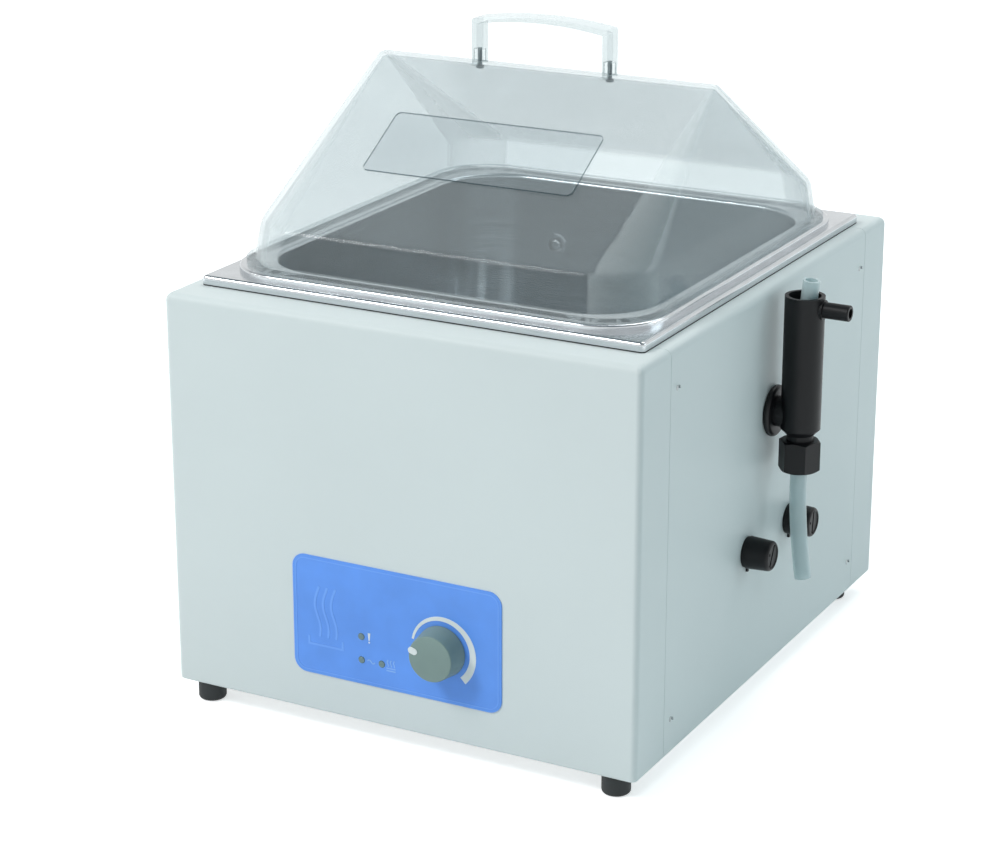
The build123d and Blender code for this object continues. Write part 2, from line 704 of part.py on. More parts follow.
with BuildPart() as insulation:
    with BuildSketch(Plane.XY.offset(insulation_bottom)):
        RectangleRounded(
            TANK_WIDTH + 2 * INSULATION_THICKNESS,
            TANK_LENGTH + 2 * INSULATION_THICKNESS,
            TANK_CORNER_RADIUS + INSULATION_THICKNESS,
        )
    extrude(amount=insulation_top - insulation_bottom)
    insulated_bowl = bowl(TANK_SHEET + RUNNING_GAP, rim_top, tank_underside)
    add(insulated_bowl.part, mode=Mode.SUBTRACT)
    with BuildSketch(Plane.YZ):
        with Locations((0, port_z)):
            Circle(PORT_DIAMETER / 2 + RUNNING_GAP)
    extrude(amount=half_width, mode=Mode.SUBTRACT)
    with BuildSketch(Plane.XZ):
        with Locations((SENSOR_X, sensor_z)):
            Circle(BUSH_DIAMETER / 2 + RUNNING_GAP)
    extrude(amount=-half_depth, mode=Mode.SUBTRACT)
finish(insulation.part, "insulation")


# Heater: a flattened serpentine element pressed to the tank floor by a clamp plate

element_z = tank_underside - ELEMENT_HEIGHT
clamp_underside = element_z - CLAMP_SHEET
run_y = [(i - (RUN_COUNT - 1) / 2) * RUN_PITCH for i in range(RUN_COUNT)]
run_half = RUN_LENGTH / 2
with BuildPart() as heater_element:
    with BuildSketch(Plane.XY.offset(element_z)):
        for i in range(RUN_COUNT):
            with Locations((0, run_y[i])):
                Rectangle(RUN_LENGTH, ELEMENT_WIDTH)
        for i in range(RUN_COUNT - 1):
            end_side = 1 if i % 2 == 0 else -1
            with Locations((end_side * run_half, run_y[i] + RUN_PITCH / 2)):
                Circle((RUN_PITCH + ELEMENT_WIDTH) / 2)
        for i in range(RUN_COUNT - 1):
            end_side = 1 if i % 2 == 0 else -1
            with Locations((end_side * run_half, run_y[i] + RUN_PITCH / 2)):
                Circle((RUN_PITCH - ELEMENT_WIDTH) / 2, mode=Mode.SUBTRACT)
            with Locations((end_side * (run_half - RUN_PITCH / 2), run_y[i] + RUN_PITCH / 2)):
                Rectangle(RUN_PITCH, RUN_PITCH - ELEMENT_WIDTH, mode=Mode.SUBTRACT)
    extrude(amount=ELEMENT_HEIGHT)
    terminal_x = -run_half + ELEMENT_WIDTH / 2
    with BuildSketch(Plane.XY.offset(element_z)):
        with Locations((terminal_x, run_y[0]), (terminal_x, run_y[-1])):
            Circle(TERMINAL_DIAMETER / 2)
    extrude(amount=-TERMINAL_LENGTH)
finish(heater_element.part, "heater_element")

with BuildPart() as element_clamp:
    with BuildSketch(Plane.XY.offset(clamp_underside)):
        RectangleRounded(CLAMP_WIDTH, CLAMP_LENGTH, CLAMP_CORNER_RADIUS)
        with Locations(*rod_spots):
            Circle(ROD_DIAMETER / 2 + HOLE_GAP, mode=Mode.SUBTRACT)
        with Locations((terminal_x, run_y[0]), (terminal_x, run_y[-1])):
            Circle(TERMINAL_HOLE_DIAMETER / 2, mode=Mode.SUBTRACT)
        Circle(CUTOUT_STEM_DIAMETER / 2 + HOLE_GAP, mode=Mode.SUBTRACT)
    extrude(amount=CLAMP_SHEET)
finish(element_clamp.part, "element_clamp")

rod_end = base_underside - NUT_HEIGHT - ROD_TAIL
with BuildPart() as tie_rods:
    with BuildSketch(Plane.XY.offset(rod_end)):
        with Locations(*rod_spots):
            Circle(ROD_DIAMETER / 2)
    extrude(amount=tank_underside - rod_end)
finish(tie_rods.part, "tie_rods")

rod_bore = ROD_DIAMETER + 2 * FIT_GAP
with BuildPart() as clamp_nuts:
    nut_seat = Plane.XY.offset(clamp_underside - NUT_HEIGHT)
    add(hex_nut(nut_seat, rod_spots, NUT_ACROSS_FLATS, NUT_HEIGHT, rod_bore))
finish(clamp_nuts.part, "clamp_nuts")

with BuildPart() as tie_rod_nuts:
    nut_seat = Plane.XY.offset(base_underside - NUT_HEIGHT)
    add(hex_nut(nut_seat, rod_spots, NUT_ACROSS_FLATS, NUT_HEIGHT, rod_bore))
finish(tie_rod_nuts.part, "tie_rod_nuts")

with BuildPart() as temperature_probe:
    with BuildSketch(Plane.YZ.offset(-PROBE_LENGTH / 2)):
        with Locations((RUN_PITCH, tank_underside - ELEMENT_HEIGHT / 2)):
            Circle(PROBE_DIAMETER / 2)
    extrude(amount=PROBE_LENGTH)
finish(temperature_probe.part, "temperature_probe")

with BuildPart() as overheat_cutout:
    with BuildSketch(Plane.XY.offset(tank_underside)):
        Circle(CUTOUT_STEM_DIAMETER / 2)
    extrude(amount=-(tank_underside - clamp_underside))
    with BuildSketch(Plane.XY.offset(clamp_underside)):
        Circle(CUTOUT_DIAMETER / 2)
    extrude(amount=-CUTOUT_HEIGHT)
    with BuildSketch(Plane.XY.offset(clamp_underside - CUTOUT_HEIGHT)):
        with GridLocations(0, CUTOUT_TAB_SPREAD, 1, 2):
            Rectangle(CUTOUT_TAB_WIDTH, CUTOUT_TAB_SHEET)
    extrude(amount=-CUTOUT_TAB_LENGTH)
finish(overheat_cutout.part, "overheat_cutout")


# Level sensor in its bush through the rear wall of the tank

sensor_wall_y = tank_half_y(sensor_z)
bush_plane = Plane(
    origin=(SENSOR_X, sensor_wall_y - BUSH_PROUD, sensor_z), x_dir=(-1, 0, 0), z_dir=(0, 1, 0)
)
with BuildPart() as sensor_bush:
    with BuildSketch(bush_plane):
        Circle(BUSH_DIAMETER / 2)
        Circle(BUSH_BORE / 2, mode=Mode.SUBTRACT)
    extrude(amount=BUSH_LENGTH)
finish(sensor_bush.part, "sensor_bush")

with BuildPart() as level_sensor:
    with BuildSketch(bush_plane):
        Circle(SENSOR_DIAMETER / 2)
    extrude(amount=BUSH_LENGTH)
    fillet(level_sensor.faces().sort_by(Axis.Y)[0].edges(), SENSOR_DIAMETER / 4)
    with BuildSketch(bush_plane.offset(BUSH_LENGTH)):
        Circle(SENSOR_HEAD_DIAMETER / 2)
    extrude(amount=SENSOR_HEAD_HEIGHT)
finish(level_sensor.part, "level_sensor")


# Control panel: overlay, lamps and the board behind them

with BuildPart() as control_overlay:
    with BuildSketch(front_face):
        with Locations((0, overlay_z)):
            RectangleRounded(OVERLAY_WIDTH, OVERLAY_HEIGHT, OVERLAY_RADIUS)
        with Locations(*lamp_spots):
            Circle(LAMP_DIAMETER / 2 + HOLE_GAP, mode=Mode.SUBTRACT)
        with Locations((KNOB_X, knob_z)):
            Circle(BUSHING_DIAMETER / 2 + HOLE_GAP, mode=Mode.SUBTRACT)
    extrude(amount=OVERLAY_THICKNESS)
finish(control_overlay.part, "control_overlay")

board_depth = PANEL_SHEET + BOARD_STANDOFF
with BuildPart() as indicator_lamps:
    with BuildSketch(front_face.offset(-board_depth)):
        with Locations(*lamp_spots):
            Circle(LAMP_DIAMETER / 2)
    extrude(amount=board_depth + OVERLAY_THICKNESS + LAMP_PROUD)
    lamp_fronts = indicator_lamps.faces().filter_by(Axis.Y).group_by(Axis.Y)[0]
    fillet(lamp_fronts.edges(), LAMP_PROUD)
finish(indicator_lamps.part, "indicator_lamps")

with BuildPart() as control_board:
    with BuildSketch(front_face.offset(-board_depth)):
        with Locations((0, overlay_z)):
            Rectangle(BOARD_WIDTH, BOARD_HEIGHT)
        with Locations(*pillar_spots):
            Circle(SMALL_SCREW_DIAMETER / 2 + HOLE_GAP, mode=Mode.SUBTRACT)
    extrude(amount=-BOARD_SHEET)
finish(control_board.part, "control_board")

with BuildPart() as board_pillars:
    with BuildSketch(front_face.offset(-board_depth)):
        with Locations(*pillar_spots):
            Circle(PILLAR_DIAMETER / 2)
            Circle(SMALL_SCREW_DIAMETER / 2 + FIT_GAP, mode=Mode.SUBTRACT)
    extrude(amount=BOARD_STANDOFF)
finish(board_pillars.part, "board_pillars")

board_back = Plane(
    origin=(0, -half_depth + board_depth + BOARD_SHEET, 0), x_dir=(-1, 0, 0), z_dir=(0, 1, 0)
)
with BuildPart() as board_screws:
    spots = [(-x, z) for x, z in pillar_spots]
    reach = BOARD_SHEET + BOARD_STANDOFF / 2
    add(small_screw(board_back, spots, reach))
finish(board_screws.part, "board_screws")

with BuildPart() as power_relay:
    with BuildSketch(board_back):
        with Locations((-RELAY_X, overlay_z)):
            Rectangle(RELAY_WIDTH, RELAY_HEIGHT)
    extrude(amount=RELAY_DEPTH)
    fillet(power_relay.edges().filter_by(Axis.Y), 1)
finish(power_relay.part, "power_relay")


# Heat regulator behind the panel, with its nut in front

regulator_plane = Plane(origin=(KNOB_X, -half_depth, knob_z), x_dir=(1, 0, 0), z_dir=(0, -1, 0))
overlay_front = regulator_plane.offset(OVERLAY_THICKNESS)
with BuildPart() as regulator_body:
    with BuildSketch(regulator_plane.offset(-PANEL_SHEET)):
        Circle(REGULATOR_DIAMETER / 2)
    extrude(amount=-REGULATOR_DEPTH)
    with BuildSketch(regulator_plane.offset(-PANEL_SHEET)):
        Circle(BUSHING_DIAMETER / 2)
    extrude(amount=PANEL_SHEET + OVERLAY_THICKNESS + BUSHING_REACH)
    with BuildSketch(overlay_front.offset(BUSHING_REACH)):
        Circle(SHAFT_DIAMETER / 2 + FIT_GAP)
    extrude(amount=-(BUSHING_REACH + OVERLAY_THICKNESS + PANEL_SHEET + SHAFT_IN_BODY), mode=Mode.SUBTRACT)
    with BuildSketch(regulator_plane.offset(-PANEL_SHEET - REGULATOR_DEPTH)):
        with GridLocations(REGULATOR_PIN_STEP, 0, 3, 1):
            Circle(REGULATOR_PIN_DIAMETER / 2)
    extrude(amount=-(BOARD_STANDOFF - REGULATOR_DEPTH))
finish(regulator_body.part, "regulator_body")

with BuildPart() as regulator_nut:
    nut_bore = BUSHING_DIAMETER + 2 * FIT_GAP
    add(hex_nut(overlay_front, [(0, 0)], REGULATOR_NUT_FLATS, REGULATOR_NUT_HEIGHT, nut_bore))
finish(regulator_nut.part, "regulator_nut")

knob_back = overlay_front.offset(KNOB_BACK_GAP)
with BuildPart() as regulator_shaft:
    shaft_start = PANEL_SHEET + SHAFT_IN_BODY - RUNNING_GAP
    shaft_end = OVERLAY_THICKNESS + KNOB_BACK_GAP + KNOB_RECESS_DEPTH + SHAFT_IN_KNOB
    with BuildSketch(regulator_plane.offset(-shaft_start)):
        Circle(SHAFT_DIAMETER / 2)
    extrude(amount=shaft_start + shaft_end)
finish(regulator_shaft.part, "regulator_shaft")

pointer_x = POINTER_RADIUS * math.cos(math.radians(POINTER_ANGLE))
pointer_z = POINTER_RADIUS * math.sin(math.radians(POINTER_ANGLE))
grub_height = KNOB_RECESS_DEPTH + SHAFT_IN_KNOB / 2
grub_plane = Plane(
    origin=(KNOB_X, -half_depth - OVERLAY_THICKNESS - KNOB_BACK_GAP - grub_height, knob_z),
    x_dir=(1, 0, 0),
    z_dir=(0, 0, -1),
)
with BuildPart() as knob:
    with BuildSketch(knob_back):
        Circle(KNOB_BASE_DIAMETER / 2)
    extrude(amount=KNOB_HEIGHT, taper=KNOB_TAPER)
    fillet(knob.faces().sort_by(Axis.Y)[0].edges(), KNOB_EDGE_RADIUS)
    with BuildSketch(knob_back):
        Circle(KNOB_RECESS_DIAMETER / 2)
    extrude(amount=KNOB_RECESS_DEPTH, mode=Mode.SUBTRACT)
    with BuildSketch(knob_back.offset(KNOB_RECESS_DEPTH)):
        Circle(SHAFT_DIAMETER / 2 + FIT_GAP)
    extrude(amount=SHAFT_IN_KNOB, mode=Mode.SUBTRACT)
    with BuildSketch(knob_back.offset(KNOB_HEIGHT - POINTER_DEPTH)):
        with Locations(Location((pointer_x, pointer_z), POINTER_ANGLE)):
            SlotOverall(POINTER_LENGTH, POINTER_WIDTH)
    extrude(amount=POINTER_DEPTH, mode=Mode.SUBTRACT)
    with BuildSketch(grub_plane.offset(SHAFT_DIAMETER / 2)):
        Circle(GRUB_DIAMETER / 2 + FIT_GAP)
    extrude(amount=KNOB_BASE_DIAMETER / 2, mode=Mode.SUBTRACT)
finish(knob.part, "knob")

with BuildPart() as knob_pointer:
    with BuildSketch(knob_back.offset(KNOB_HEIGHT - POINTER_DEPTH)):
        with Locations(Location((pointer_x, pointer_z), POINTER_ANGLE)):
            SlotOverall(POINTER_LENGTH, POINTER_WIDTH)
    extrude(amount=POINTER_DEPTH + POINTER_PROUD)
finish(knob_pointer.part, "knob_pointer")

with BuildPart() as knob_grub_screw:
    with BuildSketch(grub_plane.offset(SHAFT_DIAMETER / 2 + FIT_GAP)):
        Circle(GRUB_DIAMETER / 2)
    extrude(amount=GRUB_LENGTH)
finish(knob_grub_screw.part, "knob_grub_screw")


# Fuse holders with slotted bayonet caps in the right side panel


def fuse_plane(y):
    """The outer face of the right side panel at one fuse holder."""
    return Plane(origin=(half_width, y, fuse_z), x_dir=(0, 1, 0), z_dir=(1, 0, 0))


def fuse_holder(y):
    """The fixed holder: flange with its key tab, barrel and two solder lugs."""
    place = fuse_plane(y)
    with BuildPart() as holder:
        with BuildSketch(place):
            Circle(FUSE_FLANGE_DIAMETER / 2)
            with Locations((0, -FUSE_FLANGE_DIAMETER / 2)):
                Rectangle(FUSE_TAB_WIDTH, 2 * FUSE_TAB_REACH)
        extrude(amount=FUSE_FLANGE_THICKNESS)
        with BuildSketch(place):
            Circle(FUSE_BARREL_DIAMETER / 2)
        extrude(amount=-FUSE_BARREL_LENGTH)
        with BuildSketch(place.offset(FUSE_FLANGE_THICKNESS)):
            Circle(FUSE_STEM_DIAMETER / 2 + FIT_GAP)
        extrude(amount=-(FUSE_FLANGE_THICKNESS + FUSE_BARREL_LENGTH - FUSE_BARREL_END), mode=Mode.SUBTRACT)
        with BuildSketch(place.offset(-FUSE_BARREL_LENGTH)):
            Rectangle(FUSE_LUG_WIDTH, FUSE_LUG_SHEET)
        extrude(amount=-FUSE_LUG_LENGTH)
        with BuildSketch(place.offset(-FUSE_BARREL_LENGTH + FUSE_LUG_WIDTH)):
            with Locations((0, -(FUSE_BARREL_DIAMETER + FUSE_LUG_LENGTH) / 2)):
                Rectangle(FUSE_LUG_WIDTH, FUSE_LUG_LENGTH + FUSE_LUG_SHEET)
        extrude(amount=FUSE_LUG_SHEET)
    return holder.part


def fuse_cap(y, slot_angle):
    """The turning cap with its screwdriver slot and the stem that grips the fuse link."""
    back = fuse_plane(y).offset(FUSE_FLANGE_THICKNESS + RUNNING_GAP)
    with BuildPart() as cap:
        with BuildSketch(back):
            Circle(CAP_BASE_DIAMETER / 2)
        extrude(amount=CAP_LENGTH, taper=CAP_TAPER)
        fillet(cap.faces().sort_by(Axis.X)[-1].edges(), CAP_EDGE_RADIUS)
        with BuildSketch(back.offset(CAP_LENGTH)):
            Rectangle(CAP_DISH_DIAMETER, CAP_SLOT_WIDTH, rotation=slot_angle)
        extrude(amount=-CAP_SLOT_DEPTH, mode=Mode.SUBTRACT)
        with BuildSketch(back.offset(CAP_LENGTH)):
            Circle(CAP_DISH_DIAMETER / 2)
        extrude(amount=-CAP_DISH_DEPTH, taper=CAP_DISH_TAPER, mode=Mode.SUBTRACT)
        with BuildSketch(back.offset(CAP_LENGTH - CAP_DISH_DEPTH)):
            with Locations(Location((0, 0), slot_angle)):
                with Locations((0, CAP_MARK_OFFSET)):
                    Circle(CAP_MARK_DIAMETER / 2)
        extrude(amount=-CAP_MARK_DEPTH, mode=Mode.SUBTRACT)
        with BuildSketch(back):
            Circle(FUSE_STEM_DIAMETER / 2)
        extrude(amount=-FUSE_STEM_LENGTH)
        with BuildSketch(back.offset(-FUSE_STEM_LENGTH)):
            Circle(LINK_DIAMETER / 2 + FIT_GAP)
        extrude(amount=LINK_IN_STEM, mode=Mode.SUBTRACT)
    return cap.part


def fuse_link(y):
    """The glass fuse link held in the stem of its cap."""
    back = fuse_plane(y).offset(FUSE_FLANGE_THICKNESS + RUNNING_GAP)
    with BuildPart() as link:
        with BuildSketch(back.offset(-FUSE_STEM_LENGTH + LINK_IN_STEM)):
            Circle(LINK_DIAMETER / 2)
        extrude(amount=-LINK_LENGTH)
    return link.part


for holder_name, cap_name, link_name, fuse_y, slot_angle in (
    ("fuse_holder_front", "fuse_cap_front", "fuse_link_front", -FUSE_SPREAD / 2, CAP_FRONT_SLOT_ANGLE),
    ("fuse_holder_rear", "fuse_cap_rear", "fuse_link_rear", FUSE_SPREAD / 2, CAP_REAR_SLOT_ANGLE),
):
    finish(fuse_holder(fuse_y), holder_name)
    finish(fuse_cap(fuse_y, slot_angle), cap_name)
    finish(fuse_link(fuse_y), link_name)

with BuildPart() as fuse_holder_nuts:
    nut_plane = right_face.offset(-PANEL_SHEET - FUSE_NUT_HEIGHT)
    nut_spots = [(-FUSE_SPREAD / 2, fuse_z), (FUSE_SPREAD / 2, fuse_z)]
    add(hex_nut(nut_plane, nut_spots, FUSE_NUT_FLATS, FUSE_NUT_HEIGHT, FUSE_BARREL_DIAMETER + 2 * FIT_GAP))
finish(fuse_holder_nuts.part, "fuse_holder_nuts")


# Mains inlet in the rear panel

inlet_plane = Plane(
    origin=(INLET_X, half_depth, case_bottom + INLET_FROM_BOTTOM), x_dir=(-1, 0, 0), z_dir=(0, 1, 0)
)
inlet_screw_spots = [(-INLET_SCREW_SPREAD / 2, 0), (INLET_SCREW_SPREAD / 2, 0)]
inlet_pin_spots = [(-INLET_PIN_SPREAD / 2, 0), (0, INLET_EARTH_RISE), (INLET_PIN_SPREAD / 2, 0)]
socket_floor = INLET_FLANGE_THICKNESS - INLET_SOCKET_DEPTH
with BuildPart() as mains_inlet:
    with BuildSketch(inlet_plane):
        RectangleRounded(INLET_FLANGE_WIDTH, INLET_FLANGE_HEIGHT, INLET_FLANGE_RADIUS)
        with Locations(*inlet_screw_spots):
            Circle(SMALL_SCREW_DIAMETER / 2 + HOLE_GAP, mode=Mode.SUBTRACT)
    extrude(amount=INLET_FLANGE_THICKNESS)
    with BuildSketch(inlet_plane):
        Rectangle(INLET_BODY_WIDTH, INLET_BODY_HEIGHT)
    extrude(amount=-INLET_BODY_DEPTH)
    with BuildSketch(inlet_plane.offset(INLET_FLANGE_THICKNESS)) as socket:
        Rectangle(INLET_SOCKET_WIDTH, INLET_SOCKET_HEIGHT)
        chamfer(socket.vertices().group_by(Axis.Y)[-1], INLET_SOCKET_CORNER)
    extrude(amount=-INLET_SOCKET_DEPTH, mode=Mode.SUBTRACT)
    with BuildSketch(inlet_plane.offset(socket_floor)):
        with Locations(*inlet_pin_spots):
            Rectangle(INLET_PIN_WIDTH + 2 * FIT_GAP, INLET_PIN_HEIGHT + 2 * FIT_GAP)
    extrude(amount=-INLET_BODY_DEPTH, mode=Mode.SUBTRACT)
finish(mains_inlet.part, "mains_inlet")

with BuildPart() as inlet_pins:
    pin_tail = INLET_BODY_DEPTH + INLET_PIN_TAIL
    with BuildSketch(inlet_plane.offset(-pin_tail)):
        with Locations(*inlet_pin_spots):
            Rectangle(INLET_PIN_WIDTH, INLET_PIN_HEIGHT)
    extrude(amount=pin_tail + socket_floor + INLET_PIN_LENGTH)
finish(inlet_pins.part, "inlet_pins")

with BuildPart() as inlet_screws:
    inlet_front = inlet_plane.offset(INLET_FLANGE_THICKNESS)
    reach = INLET_FLANGE_THICKNESS + PANEL_SHEET + INLET_NUT_HEIGHT + 1
    add(small_screw(inlet_front, inlet_screw_spots, reach))
finish(inlet_screws.part, "inlet_screws")

with BuildPart() as inlet_nuts:
    nut_plane = inlet_plane.offset(-PANEL_SHEET - INLET_NUT_HEIGHT)
    nut_bore = SMALL_SCREW_DIAMETER + 2 * FIT_GAP
    add(hex_nut(nut_plane, inlet_screw_spots, INLET_NUT_FLATS, INLET_NUT_HEIGHT, nut_bore))
finish(inlet_nuts.part, "inlet_nuts")


# Terminals on the base plate

with BuildPart() as terminal_block:
    with BuildSketch(Plane.XY.offset(base_top)):
        with Locations(terminal_block_spot):
            Rectangle(TERMINAL_BLOCK_WIDTH, TERMINAL_BLOCK_DEPTH)
    extrude(amount=TERMINAL_BLOCK_HEIGHT)
    way_pitch = TERMINAL_BLOCK_WIDTH / TERMINAL_WAYS
    with BuildSketch(Plane.XY.offset(base_top + TERMINAL_BLOCK_HEIGHT)):
        with Locations(terminal_block_spot):
            with GridLocations(way_pitch, TERMINAL_BLOCK_DEPTH / 2, TERMINAL_WAYS, 2):
                Circle(way_pitch / 4)
            with GridLocations(way_pitch, 0, TERMINAL_WAYS - 1, 1):
                Rectangle(way_pitch / 8, TERMINAL_BLOCK_DEPTH)
    extrude(amount=-TERMINAL_BLOCK_HEIGHT / 3, mode=Mode.SUBTRACT)
finish(terminal_block.part, "terminal_block")

with BuildPart() as earth_stud:
    with BuildSketch(Plane.XY.offset(base_underside)):
        with Locations(earth_stud_spot):
            Circle(EARTH_STUD_DIAMETER / 2)
    extrude(amount=EARTH_STUD_HEIGHT)
finish(earth_stud.part, "earth_stud")

with BuildPart() as earth_nut:
    earth_bore = EARTH_STUD_DIAMETER + 2 * FIT_GAP
    add(hex_nut(Plane.XY.offset(base_top), [earth_stud_spot], EARTH_NUT_FLATS, EARTH_NUT_HEIGHT, earth_bore))
finish(earth_nut.part, "earth_nut")


# Constant-level device: port, collar, chamber, gland and overflow tube

port_wall_x = tank_half_x(port_z)
collar_face_x = half_width + COLLAR_THICKNESS
with BuildPart() as level_port:
    port_start = port_wall_x - PORT_PROUD
    port_end = collar_face_x + PORT_IN_NECK
    with BuildSketch(Plane.YZ.offset(port_start)):
        with Locations((0, port_z)):
            Circle(PORT_DIAMETER / 2)
            Circle(PORT_BORE / 2, mode=Mode.SUBTRACT)
    extrude(amount=port_end - port_start)
finish(level_port.part, "level_port")

with BuildPart() as level_collar:
    with BuildSketch(right_face):
        with Locations((0, port_z)):
            Circle(COLLAR_DIAMETER / 2)
    extrude(amount=COLLAR_THICKNESS)
    fillet(level_collar.edges().filter_by(GeomType.CIRCLE), COLLAR_EDGE_RADIUS)
    with BuildSketch(right_face):
        with Locations((0, port_z)):
            Circle(PORT_DIAMETER / 2 + FIT_GAP)
    extrude(amount=COLLAR_THICKNESS, mode=Mode.SUBTRACT)
finish(level_collar.part, "level_collar")

thread_end = chamber_bottom - THREAD_LENGTH
spigot_z = chamber_top - SPIGOT_BELOW_TOP
with BuildPart() as level_chamber:
    with BuildSketch(Plane.XY.offset(chamber_bottom)):
        with Locations((chamber_x, 0)):
            Circle(CHAMBER_DIAMETER / 2)
    extrude(amount=chamber_top - chamber_bottom)
    chamfer(level_chamber.faces().sort_by(Axis.Z)[0].edges(), CHAMBER_CHAMFER)
    with BuildSketch(Plane.XY.offset(thread_end)):
        with Locations((chamber_x, 0)):
            Circle(THREAD_DIAMETER / 2)
    extrude(amount=THREAD_LENGTH)
    with BuildSketch(Plane.YZ.offset(collar_face_x)):
        with Locations((0, port_z)):
            Circle(NECK_DIAMETER / 2)
    extrude(amount=chamber_x - collar_face_x)
    with BuildSketch(Plane.YZ.offset(chamber_x)):
        with Locations((0, spigot_z)):
            Circle(SPIGOT_DIAMETER / 2)
    extrude(amount=SPIGOT_LENGTH)
    fillet(level_chamber.faces().sort_by(Axis.X)[-1].edges(), SPIGOT_END_RADIUS)
    with BuildSketch(Plane.YZ.offset(chamber_x)):
        with Locations((0, spigot_z)):
            Circle(SPIGOT_SHOULDER_DIAMETER / 2)
    extrude(amount=CHAMBER_DIAMETER / 2 + SPIGOT_SHOULDER_PROUD)
    with BuildSketch(Plane.XY.offset(chamber_bottom + CHAMBER_FLOOR)):
        with Locations((chamber_x, 0)):
            Circle(CHAMBER_BORE / 2)
    extrude(amount=CHAMBER_BELOW_PORT + CHAMBER_ABOVE_PORT, mode=Mode.SUBTRACT)
    with BuildSketch(Plane.XY.offset(thread_end)):
        with Locations((chamber_x, 0)):
            Circle(TUBE_DIAMETER / 2 + TUBE_PASSAGE_GAP)
    extrude(amount=THREAD_LENGTH + CHAMBER_FLOOR, mode=Mode.SUBTRACT)
    with BuildSketch(Plane.YZ.offset(collar_face_x)):
        with Locations((0, port_z)):
            Circle(PORT_DIAMETER / 2 + FIT_GAP)
    extrude(amount=PORT_IN_NECK, mode=Mode.SUBTRACT)
    with BuildSketch(Plane.YZ.offset(collar_face_x)):
        with Locations((0, port_z)):
            Circle(PORT_BORE / 2)
    extrude(amount=chamber_x - collar_face_x, mode=Mode.SUBTRACT)
    with BuildSketch(Plane.YZ.offset(chamber_x)):
        with Locations((0, spigot_z)):
            Circle(SPIGOT_BORE / 2)
    extrude(amount=SPIGOT_LENGTH, mode=Mode.SUBTRACT)
finish(level_chamber.part, "level_chamber")

nut_top = chamber_bottom - CHAMBER_CHAMFER
nut_bottom = nut_top - GLAND_NUT_HEIGHT
nut_floor = nut_bottom + GLAND_NUT_FLOOR
with BuildPart() as nut_turning:
    with BuildSketch(Plane.XY.offset(nut_bottom)):
        with Locations((chamber_x, 0)):
            Circle(GLAND_NUT_FLATS / math.sqrt(3))
    extrude(amount=GLAND_NUT_HEIGHT)
    chamfer(nut_turning.edges(), GLAND_NUT_CHAMFER / 2, GLAND_NUT_CHAMFER)

with BuildPart() as gland_nut:
    with BuildSketch(Plane.XY.offset(nut_bottom)):
        with Locations((chamber_x, 0)):
            RegularPolygon(GLAND_NUT_FLATS / 2, 6, major_radius=False, rotation=GLAND_NUT_TURN)
    extrude(amount=GLAND_NUT_HEIGHT)
    add(nut_turning.part, mode=Mode.INTERSECT)
    with BuildSketch(Plane.XY.offset(nut_floor)):
        with Locations((chamber_x, 0)):
            Circle(THREAD_DIAMETER / 2 + FIT_GAP)
    extrude(amount=GLAND_NUT_HEIGHT, mode=Mode.SUBTRACT)
    with BuildSketch(Plane.XY.offset(nut_bottom)):
        with Locations((chamber_x, 0)):
            Circle(TUBE_DIAMETER / 2 + TUBE_PASSAGE_GAP)
    extrude(amount=GLAND_NUT_FLOOR, mode=Mode.SUBTRACT)
finish(gland_nut.part, "gland_nut")

with BuildPart() as gland_seal:
    with BuildSketch(Plane.XY.offset(nut_floor + RUNNING_GAP)):
        with Locations((chamber_x, 0)):
            Circle(GLAND_SEAL_DIAMETER / 2)
            Circle(TUBE_DIAMETER / 2 + FIT_GAP, mode=Mode.SUBTRACT)
    extrude(amount=thread_end - nut_floor - RUNNING_GAP)
finish(gland_seal.part, "gland_seal")

tube_top = chamber_top + TUBE_ABOVE_CHAMBER
straight_top = port_z + TUBE_STRAIGHT_ABOVE_PORT
straight_bottom = port_z - TUBE_STRAIGHT_BELOW_PORT
tail_angle = math.degrees(math.asin((TUBE_BELOW_PORT - TUBE_STRAIGHT_BELOW_PORT) / TUBE_TAIL_RADIUS))
top_angle = math.degrees(math.asin((tube_top - straight_top) / TUBE_TOP_RADIUS))
with BuildPart() as overflow_tube:
    with BuildLine(Plane.XZ) as tube_path:
        tail = JernArc((chamber_x, straight_bottom), (0, -1), TUBE_TAIL_RADIUS, tail_angle)
        middle = Line((chamber_x, straight_bottom), (chamber_x, straight_top))
        top = JernArc(middle @ 1, (0, 1), TUBE_TOP_RADIUS, -top_angle)
    with BuildSketch(Plane(origin=tail @ 1, z_dir=tail % 1)):
        Circle(TUBE_DIAMETER / 2)
        Circle(TUBE_BORE / 2, mode=Mode.SUBTRACT)
    sweep(path=tube_path.wire())
finish(overflow_tube.part, "overflow_tube")


# Lid: a thin gabled cover with a leaning skirt, a rim lip and a bare plate on its front slope

slope_run = LID_LENGTH / 2 - SKIRT_LEAN_Y - RIDGE_WIDTH / 2
slope_angle = math.degrees(math.atan2(GABLE_HEIGHT, slope_run))


def knee_curve(base, knee, ridge):
    """Lean of the skirt and of the slope from upright, and the centre of the knee's rounding."""
    lean = math.atan2(base - knee, SKIRT_HEIGHT)
    slope = math.atan2(knee - ridge, GABLE_HEIGHT)
    reach = KNEE_RADIUS * math.tan((slope - lean) / 2)
    centre = knee + reach * math.sin(lean) - KNEE_RADIUS * math.cos(lean)
    centre_z = knee_z - reach * math.cos(lean) - KNEE_RADIUS * math.sin(lean)
    return lean, slope, centre, centre_z


